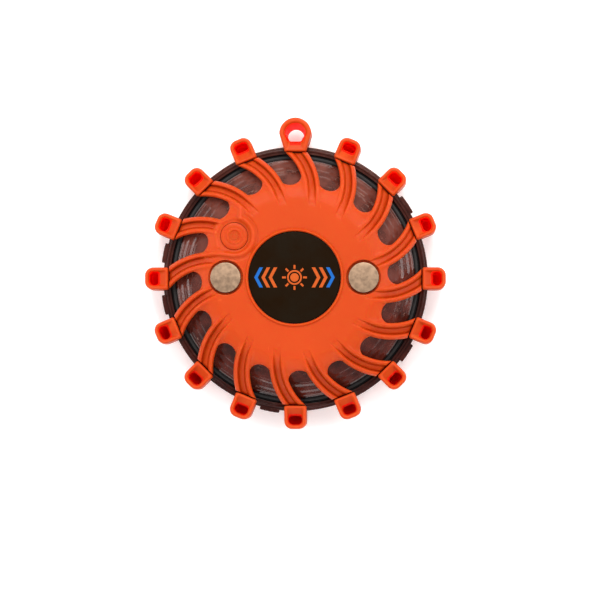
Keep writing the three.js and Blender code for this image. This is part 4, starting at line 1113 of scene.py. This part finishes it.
def rear_shell_profile():
    """Half section of the rear shell, as one closed loop: the flange with a groove at its inner
    side, the dome with turned rings, and the inside a wall's thickness below."""
    depth = sizes("ring_depth")
    radius = np.linspace(SHOULDER_RADIUS - 0.6, DOME_FLAT + 0.8, 150)
    fall = (CASE_TOP - DOME_EDGE) / (SHOULDER_RADIUS - DOME_FLAT)
    wave = 0.5 + 0.5 * np.cos((radius - 44.6) * TURN / 2.6)
    band = smooth(radius, 43.0, 44.6) * (1 - smooth(radius, 49.2, 49.8))
    dome = np.stack([radius, CASE_TOP - fall * (radius - DOME_FLAT) - depth * wave * band * 1.6], -1)
    outside = rounded([
        (SHOULDER_RADIUS - WALL, PARTING, 0), (RIM_RADIUS, PARTING, 0.25),
        (RIM_RADIUS, FLANGE_TOP - 0.35, 0.45), (55.1, FLANGE_TOP - 0.35, 0.1),
        (54.9, FLANGE_TOP + 0.12, 0.3), (54.1, FLANGE_TOP + 0.12, 0.3), (53.9, FLANGE_TOP - 0.25, 0.1),
        (52.9, FLANGE_TOP - 0.25, 0.25), (52.7, FLANGE_TOP - 1.3, 0.2),
        (51.2, FLANGE_TOP - 1.3, 0.2), (SHOULDER_RADIUS, DOME_EDGE - 0.6, 0.5),
        (SHOULDER_RADIUS - 0.55, DOME_EDGE + 0.3, 0),
    ], 4)
    inside = rounded([
        (0.01, CASE_TOP, 0), (0.01, CASE_TOP - WALL, 0),
        (DOME_FLAT - 1.0, CASE_TOP - WALL, 1.0), (SHOULDER_RADIUS - WALL, DOME_EDGE - 1.0, 0.8),
        (SHOULDER_RADIUS - WALL, PARTING, 0),
    ], 4)
    return np.concatenate([outside[:-1], dome, [[DOME_FLAT, CASE_TOP]], inside[:-1]])


def lens_profile():
    """Half section of the front lens, as one closed loop: face, slope with prism rings, flange,
    and the inside a wall's thickness above."""
    slope = (LENS_FLANGE_LOW - LENS_FACE) / (SHOULDER_RADIUS - LENS_RADIUS)
    radius = np.linspace(LENS_RADIUS + 1.0, SHOULDER_RADIUS - 0.8, 110)
    wave = np.abs(np.sin((radius - LENS_RADIUS) * math.pi / 1.6))
    side = np.stack([radius, LENS_FACE + slope * (radius - LENS_RADIUS) + 0.22 * wave], -1)
    across = WALL * math.hypot(1, slope) / slope
    outside = rounded([
        (SHOULDER_RADIUS - 0.1, LENS_FLANGE_LOW, 0), (RIM_RADIUS, LENS_FLANGE_LOW, 0.4),
        (RIM_RADIUS, LENS_FLANGE_TOP, 0.25), (52.3, LENS_FLANGE_TOP, 0.05),
        (52.3, LENS_FLANGE_TOP - 1.4, 0.05), (50.3, LENS_FLANGE_TOP - 1.4, 0.05),
        (50.3, LENS_FLANGE_TOP, 0.05), (SHOULDER_RADIUS - WALL, LENS_FLANGE_TOP, 0.2),
        (SHOULDER_RADIUS - WALL, LENS_FLANGE_LOW, 0.3),
        (LENS_RADIUS + WALL / slope - across, LENS_FACE + WALL, 0.8), (0.01, LENS_FACE + WALL, 0),
        (0.01, LENS_FACE, 0), (LENS_RADIUS, LENS_FACE, 0.6), (LENS_RADIUS + 0.8, LENS_FACE + 0.75, 0),
    ], 4)
    return np.concatenate([outside, side])


def lug(slot):
    """A closing lug on the rim: an arc of a ring with rounded edges, between two bumpers."""
    middle = (slot + 0.5) * PITCH
    angle = middle + np.radians(np.array([-4.25, -4.1, -3.7, -2, 0, 2, 3.7, 4.1, 4.25]))
    shrink = np.array([0.35, 0.12, 0.02, 0, 0, 0, 0.02, 0.12, 0.35])
    section = rounded([
        (RIM_RADIUS - 0.5, PARTING, 0), (RIM_RADIUS + 1.2, PARTING, 0.3),
        (RIM_RADIUS + 1.2, FLANGE_TOP, 0.4), (RIM_RADIUS - 0.5, FLANGE_TOP, 0),
    ], 4)
    skirt = rounded([
        (RIM_RADIUS + GAP, LENS_FLANGE_LOW, 0), (RIM_RADIUS + 1.2, LENS_FLANGE_LOW, 0.3),
        (RIM_RADIUS + 1.2, PARTING + 0.6, 0), (RIM_RADIUS + GAP, PARTING + 0.6, 0),
    ], 4)
    made = []
    for loop in (section, skirt):
        radius = loop[None, :, 0] - shrink[:, None]
        rows = np.stack([
            radius * np.cos(angle)[:, None], radius * np.sin(angle)[:, None],
            loop[None, :, 1] + 0 * radius,
        ], -1)
        made.append(loft(rows))
    return made


def post(spot, outer, bore, low, high, floor):
    """A screw post: a tube with a floor, as one closed turned loop."""
    profile = rounded([
        (0.01, low, 0), (outer, low, 0.05), (outer, high, 0.25), (bore, high, 0.1),
        (bore, floor, 0.1), (0.01, floor, 0),
    ], 3)
    return lathe(profile, 32, spot)


class FlareCase(Operator):
    """Clear case: the rear shell, the front lens and the gasket between them"""

    bl_idname = "flare.case_shells"
    bl_label = "Case"

    def execute(self, context):
        clear = finish("case", smoked_case)
        screws = [spot_of(f"case_screw_{i}") for i in (1, 2, 3, 4)]
        board_screws = [spot_of(f"pcb_screw_{i}") for i in (1, 2, 3)]
        shell = [lathe(rear_shell_profile(), 192, closed=True)]
        for slot in (1, 7, 8, 11, 14):
            shell += lug(slot)
        shell += [
            ring_of(2.8, 4.2, 14.4, CASE_TOP - WALL + 0.2, 0.2, 32, spot) for spot in screws
        ]
        shell += [
            ring_of(MAGNET_RADIUS + GAP, MAGNET_RADIUS + 2.3, 28.3, CASE_TOP - WALL + 0.2, 0.2, 48,
                    (x, 0)) for x in (-MAGNET_X, MAGNET_X)
        ]
        make_piece("rear_shell", shell, clear, nodes=["rear_shell"])
        lens = [lathe(lens_profile(), 192, closed=True)]
        lens += [post(spot, 3.05, 1.55, 4.8, 14.1, 7.5) for spot in screws]
        lens += [post(spot, 2.6, 1.3, 4.8, 11.2, 7.6) for spot in board_screws]
        make_piece("front_lens", lens, clear, nodes=["front_lens"])
        gasket = ring_of(GASKET_RADIUS - 0.68, GASKET_RADIUS + 0.68, bottom_of("rim_gasket"),
                         top_of("rim_gasket"), 0.35, 160)
        make_piece("rim_gasket", [gasket], seal_rubber(), nodes=["rim_gasket"])
        return {"FINISHED"}


# ---- Rear face ----


def flat_mark(outline, low, high):
    """A thin plate of one outline, with its top edge drawn in a little."""
    middle = outline.mean(0)
    inset = middle + (outline - middle) * 0.985
    rows = np.stack([
        np.column_stack([outline, np.full(len(outline), low)]),
        np.column_stack([outline, np.full(len(outline), (low + high) / 2)]),
        np.column_stack([inset, np.full(len(outline), high)]),
    ])
    return loft(rows)


def chevron(x, way):
    """A chevron's outline: two slanted bars that meet at a point."""
    reach, half, width = 2.2, 4.2, 1.45
    outline = np.array([
        [0, half], [width, half], [width + reach, 0], [width, -half], [0, -half], [reach, 0]
    ])
    outline = outline * [way, 1] + [x, 0]
    return outline if way > 0 else outline[::-1]


def print_parts(low, high):
    """A plain beacon sign: a disc in a ring, with eight rays."""
    sweep = np.linspace(0, TURN, 48, endpoint=False)
    circle = np.stack([np.cos(sweep), np.sin(sweep)], -1)
    disc = flat_mark(circle * 1.8, low, high)
    ring = ring_of(2.4, 3.1, low, high, 0.02, 64)
    bar = np.array([[3.6, -0.42], [5.2, -0.42], [5.2, 0.42], [3.6, 0.42]])
    rays = [flat_mark(turned_about(bar, i * TURN / 8), low, high) for i in range(8)]
    return [disc, ring, *rays]


class FlareRearFace(Operator):
    """Rear face: the label with its print, and the two magnets"""

    bl_idname = "flare.rear_face"
    bl_label = "Label and magnets"

    def execute(self, context):
        low, top = bottom_of("label_disc"), top_of("label_disc")
        thin = sizes("print_height")
        face = rounded([
            (0, low, 0), (LABEL_RADIUS, low, 0.2), (LABEL_RADIUS, top - thin, 0.35),
            (0, top - thin, 0),
        ])
        make_piece("label_disc", [lathe(face, 160)], finish("label", gloss_label),
                   nodes=["label_disc"])
        ink = finish("ink", label_ink, "orange_ink", colours("print"))
        blue = finish("blue", label_ink, "blue_ink", (0.008, 0.10, 0.38, 1))
        under = top - thin - 0.05
        make_piece("label_beacon", print_parts(under, top), ink)
        marks = [flat_mark(chevron(way * x, way), under, top)
                 for way in (1, -1) for x in (7.2, 10.2)]
        make_piece("label_chevrons", marks, ink)
        tips = [flat_mark(chevron(way * 13.2, way), under, top) for way in (1, -1)]
        make_piece("label_tips", tips, blue)
        plating = finish("nickel", nickel_plate)
        for side, x in (("left", -MAGNET_X), ("right", MAGNET_X)):
            name = f"magnet_{side}"
            disc = rounded([
                (0, MAGNET_BOTTOM, 0), (MAGNET_RADIUS, MAGNET_BOTTOM, 0.25),
                (MAGNET_RADIUS, MAGNET_TOP, 0.35), (0, MAGNET_TOP, 0),
            ])
            make_piece(name, [lathe(disc, 96, (x, 0))], plating, nodes=[name])
        return {"FINISHED"}


# ---- Power button ----


def swept_mark(path, half, low, high):
    """A rounded bar carried along a flat path, as closed loops across it."""
    way = np.gradient(path, axis=0)
    side = np.stack([-way[:, 1], way[:, 0]], -1) / np.linalg.norm(way, axis=1)[:, None]
    section = np.array([[-1, 0], [-1, 0.5], [-0.62, 0.92], [0, 1], [0.62, 0.92], [1, 0.5], [1, 0]])
    flat = path[:, None] + side[:, None] * (section[None, :, :1] * half)
    height = low + (high - low) * section[None, :, 1:] + 0 * flat[..., :1]
    return loft(np.concatenate([flat, height], -1)[:, ::-1])


class FlareButton(Operator):
    """Power button with its mark, and the seal and switch under it"""

    bl_idname = "flare.power_button"
    bl_label = "Power button"

    def execute(self, context):
        low = bottom_of("power_button")
        top = top_of("power_button") - 0.90
        under = CASE_TOP + GAP + 0.4
        edge = BUTTON_RADIUS + 0.12
        profile = rounded([
            (0, low, 0), (1.8, low, 0.3), (1.8, under, 0.2), (edge, under, 0.2),
            (edge, top - 0.25, 0.4), (edge - 1.2, top, 1.0), (3.45, top - 0.12, 0.4),
            (3.10, top + 0.14, 0.2), (2.60, top + 0.14, 0.2), (2.20, top - 0.40, 0.4),
            (0, top - 0.34, 0),
        ], 5)
        parts = [lathe(profile, 96, BUTTON_SPOT)]
        floor = top - 0.46
        lift = floor + 0.1 + sizes("glyph_height")
        sweep = np.radians(np.linspace(125, 415, 40))
        arc = BUTTON_SPOT + 1.25 * np.stack([np.cos(sweep), np.sin(sweep)], -1)
        bar = BUTTON_SPOT + np.stack([np.zeros(6), np.linspace(0.35, 1.75, 6)], -1)
        parts += [swept_mark(arc, 0.2, floor, lift), swept_mark(bar, 0.2, floor, lift)]
        make_piece("power_button", parts, rubber(), "button", ["power_button"])
        seal = ring_of(2.1, 3.4, bottom_of("button_seal"), top_of("button_seal"), 0.3, 48,
                       BUTTON_SPOT)
        make_piece("button_seal", [seal], seal_rubber(), nodes=["button_seal"])
        finish_nodes(black_plastic(), "switch_body")
        nylon = finish("nylon", plastic, "nylon", (0.80, 0.79, 0.76, 1), 0.35)
        tip = rod(1.3, bottom_of("switch_plunger"), top_of("switch_plunger"), 0.25, 32, BUTTON_SPOT)
        make_piece("switch_plunger", [tip], nylon, "plunger", ["switch_plunger"])
        return {"FINISHED"}


# ---- Board and lights ----


def light_rows(length_mm, radius, brim):
    """An LED's profile along its own axis: a brim, a straight barrel and a half-round end."""
    sweep = np.linspace(0, math.pi / 2, 8)
    dome = np.stack([radius * np.cos(sweep), length_mm - radius + radius * np.sin(sweep)], -1)
    start = rounded([(0, 0, 0), (brim, 0, 0.08), (brim, 0.7, 0.08), (radius, 0.75, 0.03),
                     (radius, length_mm - radius, 0)], 2)
    return np.concatenate([start[:-1], dome])


def placed_light(profile, at, way, up):
    """An LED's profile turned about an axis: at + z way + r (cos a side + sin a up)."""
    angle = np.linspace(0, TURN, 20, endpoint=False)
    side = np.cross(up, way)
    radius, along = profile[:, :1, None], profile[:, 1:2, None]
    around = np.cos(angle)[None, :, None] * side + np.sin(angle)[None, :, None] * up
    return loft(np.array(at) + along * way + radius * around)


class FlareLights(Operator):
    """Board, reflector, the LEDs round its edge and the LEDs that face the lens"""

    bl_idname = "flare.lights"
    bl_label = "Board and lights"

    def execute(self, context):
        finish_nodes(finish("mask", solder_mask), "main_pcb")
        epoxy = finish("epoxy", led_epoxy)
        profile = light_rows(4.0, 1.5, 1.65)
        ring = BOARD_RADIUS - 0.4 - 4.0
        height = BOARD_HIGH + GAP + 1.65
        parts = []
        for slot in range(ARM_COUNT):
            way = np.array([math.cos(slot * PITCH), math.sin(slot * PITCH), 0])
            at = way * ring + [0, 0, height]
            parts.append(placed_light(profile, at, way, np.array([0.0, 0, 1])))
        nodes = [f"led_side_{i:02d}" for i in range(1, ARM_COUNT + 1)]
        make_piece("side_lights", parts, epoxy, nodes=nodes)
        nodes = [f"led_front_{i:02d}" for i in range(1, 9)]
        parts = []
        for node in nodes:
            at = [*spot_of(node), BOARD_LOW - GAP]
            parts.append(placed_light(profile, at, np.array([0.0, 0, -1]), np.array([0, 1.0, 0])))
        make_piece("front_lights", parts, epoxy, nodes=nodes)
        white = finish("white", plastic, "white_plastic", (0.80, 0.79, 0.76, 1), 0.30)
        finish_nodes(white, "reflector")
        finish_nodes(black_plastic(), "controller_chip")
        ferrite = finish("ferrite", plastic, "ferrite", (0.03, 0.03, 0.035, 1), 0.6, 2600, 0.25)
        core = rod(2.6, bottom_of("inductor"), top_of("inductor"), 0.35, 40, spot_of("inductor"))
        make_piece("inductor", [core], ferrite, nodes=["inductor"])
        return {"FINISHED"}


# ---- Battery and fasteners ----


class FlareBattery(Operator):
    """Flat cell in its cradle, its tabs and the foam that holds it down"""

    bl_idname = "flare.battery"
    bl_label = "Battery"

    def execute(self, context):
        finish_nodes(finish("pouch", foil_pouch), "battery_cell")
        finish_nodes(black_plastic(), "battery_cradle")
        finish_nodes(steel(), "battery_tab_positive", "battery_tab_negative")
        finish_nodes(finish("foam", open_foam), "foam_pad")
        return {"FINISHED"}


def screw_profile(node, shank, head):
    """A screw's section: a pointed shank with shallow thread rings, and a domed head."""
    low, high = bottom_of(node), top_of(node)
    seat = high - head * 0.80
    turns = np.linspace(low + shank, seat - 0.1, 60)
    thread = shank - 0.16 * (0.5 + 0.5 * np.cos((turns - low) * TURN / 0.8))
    body = np.stack([thread, turns], -1)
    return np.concatenate([
        [[0, low], [shank * 0.5, low + 0.1]], body,
        rounded([(shank, seat, 0), (head, seat, 0.15), (head, seat + head * 0.45, 0.5),
                 (head * 0.55, high, 0.4), (head * 0.45, high, 0.1), (head * 0.3, high - 0.7, 0.1),
                 (0, high - 0.7, 0)], 4),
    ])


class FlareFasteners(Operator):
    """Screws, keeper plates and sprung charging contacts"""

    bl_idname = "flare.fasteners"
    bl_label = "Fasteners and contacts"

    def execute(self, context):
        rows = [(f"case_screw_{i}", 1.25, 2.4) for i in (1, 2, 3, 4)]
        rows += [(f"pcb_screw_{i}", 1.0, 1.8) for i in (1, 2, 3)]
        for name, shank, head in rows:
            make_piece(name, [lathe(screw_profile(name, shank, head), 32, spot_of(name))], steel(),
                       nodes=[name])
        for side in ("left", "right"):
            name = f"keeper_plate_{side}"
            disc = rod(MAGNET_RADIUS, bottom_of(name), top_of(name), 0.15, 64, spot_of(name))
            make_piece(name, [disc], steel(), nodes=[name])
            name = f"charge_contact_{side}"
            low, high = bottom_of(name), top_of(name)
            profile = rounded([
                (0, low, 0), (2.0, low, 0.15), (2.0, low + 1.0, 0.15), (1.7, low + 1.1, 0.05),
                (1.7, 27.6, 0.3), (0.95, 27.6, 0.1), (0.95, high, 0.6), (0, high, 0),
            ], 4)
            make_piece(name, [lathe(profile, 40, spot_of(name))], brass(), nodes=[name])
        return {"FINISHED"}


# ---- Stage ----


def area_light(name, place, aim, size, power, tint):
    """A square area light at a place, turned towards an aim."""
    light = bpy.data.lights.new(name, "AREA")
    light.shape = "SQUARE"
    light.size = size
    light.energy = power
    light.color = tint
    lamp = bpy.data.objects.new(name, light)
    lamp.location = place
    way = Vector(aim) - Vector(place)
    lamp.rotation_euler = way.to_track_quat("-Z", "Y").to_euler()
    bpy.context.scene.collection.objects.link(lamp)


def floor_plane():
    """A wide flat floor, a hair below the ring that the flare lies on."""
    side = 3.0
    mesh = bpy.data.meshes.new("floor")
    low = -0.05 * MM / side
    corners = np.array([[-1, -1, low], [1, -1, low], [1, 1, low], [-1, 1, low]]) * side
    mesh.from_pydata(corners.tolist(), [], [[0, 1, 2, 3]])
    mesh.materials.append(finish("floor", studio_floor))
    floor = bpy.data.objects.new("floor", mesh)
    bpy.context.scene.collection.objects.link(floor)


def studio_world():
    """White surroundings, brighter to the camera than to the surfaces they light."""
    world = bpy.data.worlds.new("studio")
    world.use_nodes = True
    tree = world.node_tree
    sky = tree.nodes["Background"]
    sky.inputs["Color"].default_value = (1.0, 1.0, 1.0, 1)
    path = tree.nodes.new("ShaderNodeLightPath")
    level = tree.nodes.new("ShaderNodeMapRange")
    level.inputs["To Min"].default_value = 0.50
    level.inputs["To Max"].default_value = 1.0
    tree.links.new(path.outputs["Is Camera Ray"], level.inputs["Value"])
    tree.links.new(level.outputs["Result"], sky.inputs["Strength"])
    bpy.context.scene.world = world


def studio_camera():
    """A long lens nearly straight above the rear face, with +Y up in its view."""
    span, distance = 0.2536, 1.5
    aim = Vector((0.0019, AXIS[1] * MM - 0.0090, 0.0185))
    back = Vector((0.0243, -0.027, 1.0)).normalized()
    right = Vector((0, 1, 0)).cross(back).normalized()
    axes = Matrix((right, back.cross(right), back)).transposed()
    camera = bpy.data.objects.new("camera", bpy.data.cameras.new("camera"))
    camera.location = aim + back * distance
    camera.rotation_euler = axes.to_euler()
    camera.data.sensor_width = 36.0
    camera.data.lens = 36.0 * distance / span
    camera.data.clip_start = 0.01
    bpy.context.scene.collection.objects.link(camera)
    bpy.context.scene.camera = camera


class FlareStage(Operator):
    """Pale floor, soft studio light and the camera above the rear face"""

    bl_idname = "flare.stage"
    bl_label = "Stage"

    def execute(self, context):
        floor_plane()
        studio_world()
        aim = (0.0, 0.0, 0.02)
        area_light("key", (0.05, 0.60, 0.78), aim, 0.70, 10.4, (1.0, 0.98, 0.95))
        area_light("left", (-0.78, 0.10, 0.50), aim, 0.5, 3.6, (1.0, 1.0, 1.0))
        area_light("right", (0.78, 0.10, 0.50), aim, 0.5, 3.6, (1.0, 1.0, 1.0))
        area_light("front", (0.0, -0.70, 0.60), aim, 0.6, 3.6, (1.0, 1.0, 1.0))
        context.scene.view_settings.view_transform = "Standard"
        studio_camera()
        return {"FINISHED"}


class FlarePanel(Panel):
    """Buttons for every step, with the sizes and colours above them"""

    bl_idname = "VIEW3D_PT_flare"
    bl_label = "LED safety flare"
    bl_space_type = "VIEW_3D"
    bl_region_type = "UI"
    bl_category = "Flare"

    def draw(self, context):
        layout = self.layout
        for group in (context.scene.flare_sizes, context.scene.flare_colours):
            box = layout.box()
            for name in group.__annotations__:
                box.prop(group, name)
        for step in STEPS:
            layout.operator(step.bl_idname)


STEPS = (
    FlareStage, FlareRearGuard, FlareFrontGuard, FlareCase, FlareRearFace, FlareButton,
    FlareLights, FlareBattery, FlareFasteners,
)
CLASSES = (FlareSizes, FlareColours, *STEPS, FlarePanel)


def register():
    """Adds the add-on's classes and its groups of sizes and colours."""
    for item in CLASSES:
        bpy.utils.register_class(item)
    bpy.types.Scene.flare_sizes = PointerProperty(type=FlareSizes)
    bpy.types.Scene.flare_colours = PointerProperty(type=FlareColours)


def unregister():
    """Takes them away again."""
    del bpy.types.Scene.flare_sizes
    del bpy.types.Scene.flare_colours
    for item in reversed(CLASSES):
        bpy.utils.unregister_class(item)


def main():
    register()
    for step in STEPS:
        group, name = step.bl_idname.split(".")
        getattr(getattr(bpy.ops, group), name)()


if __name__ == "__main__":
    main()
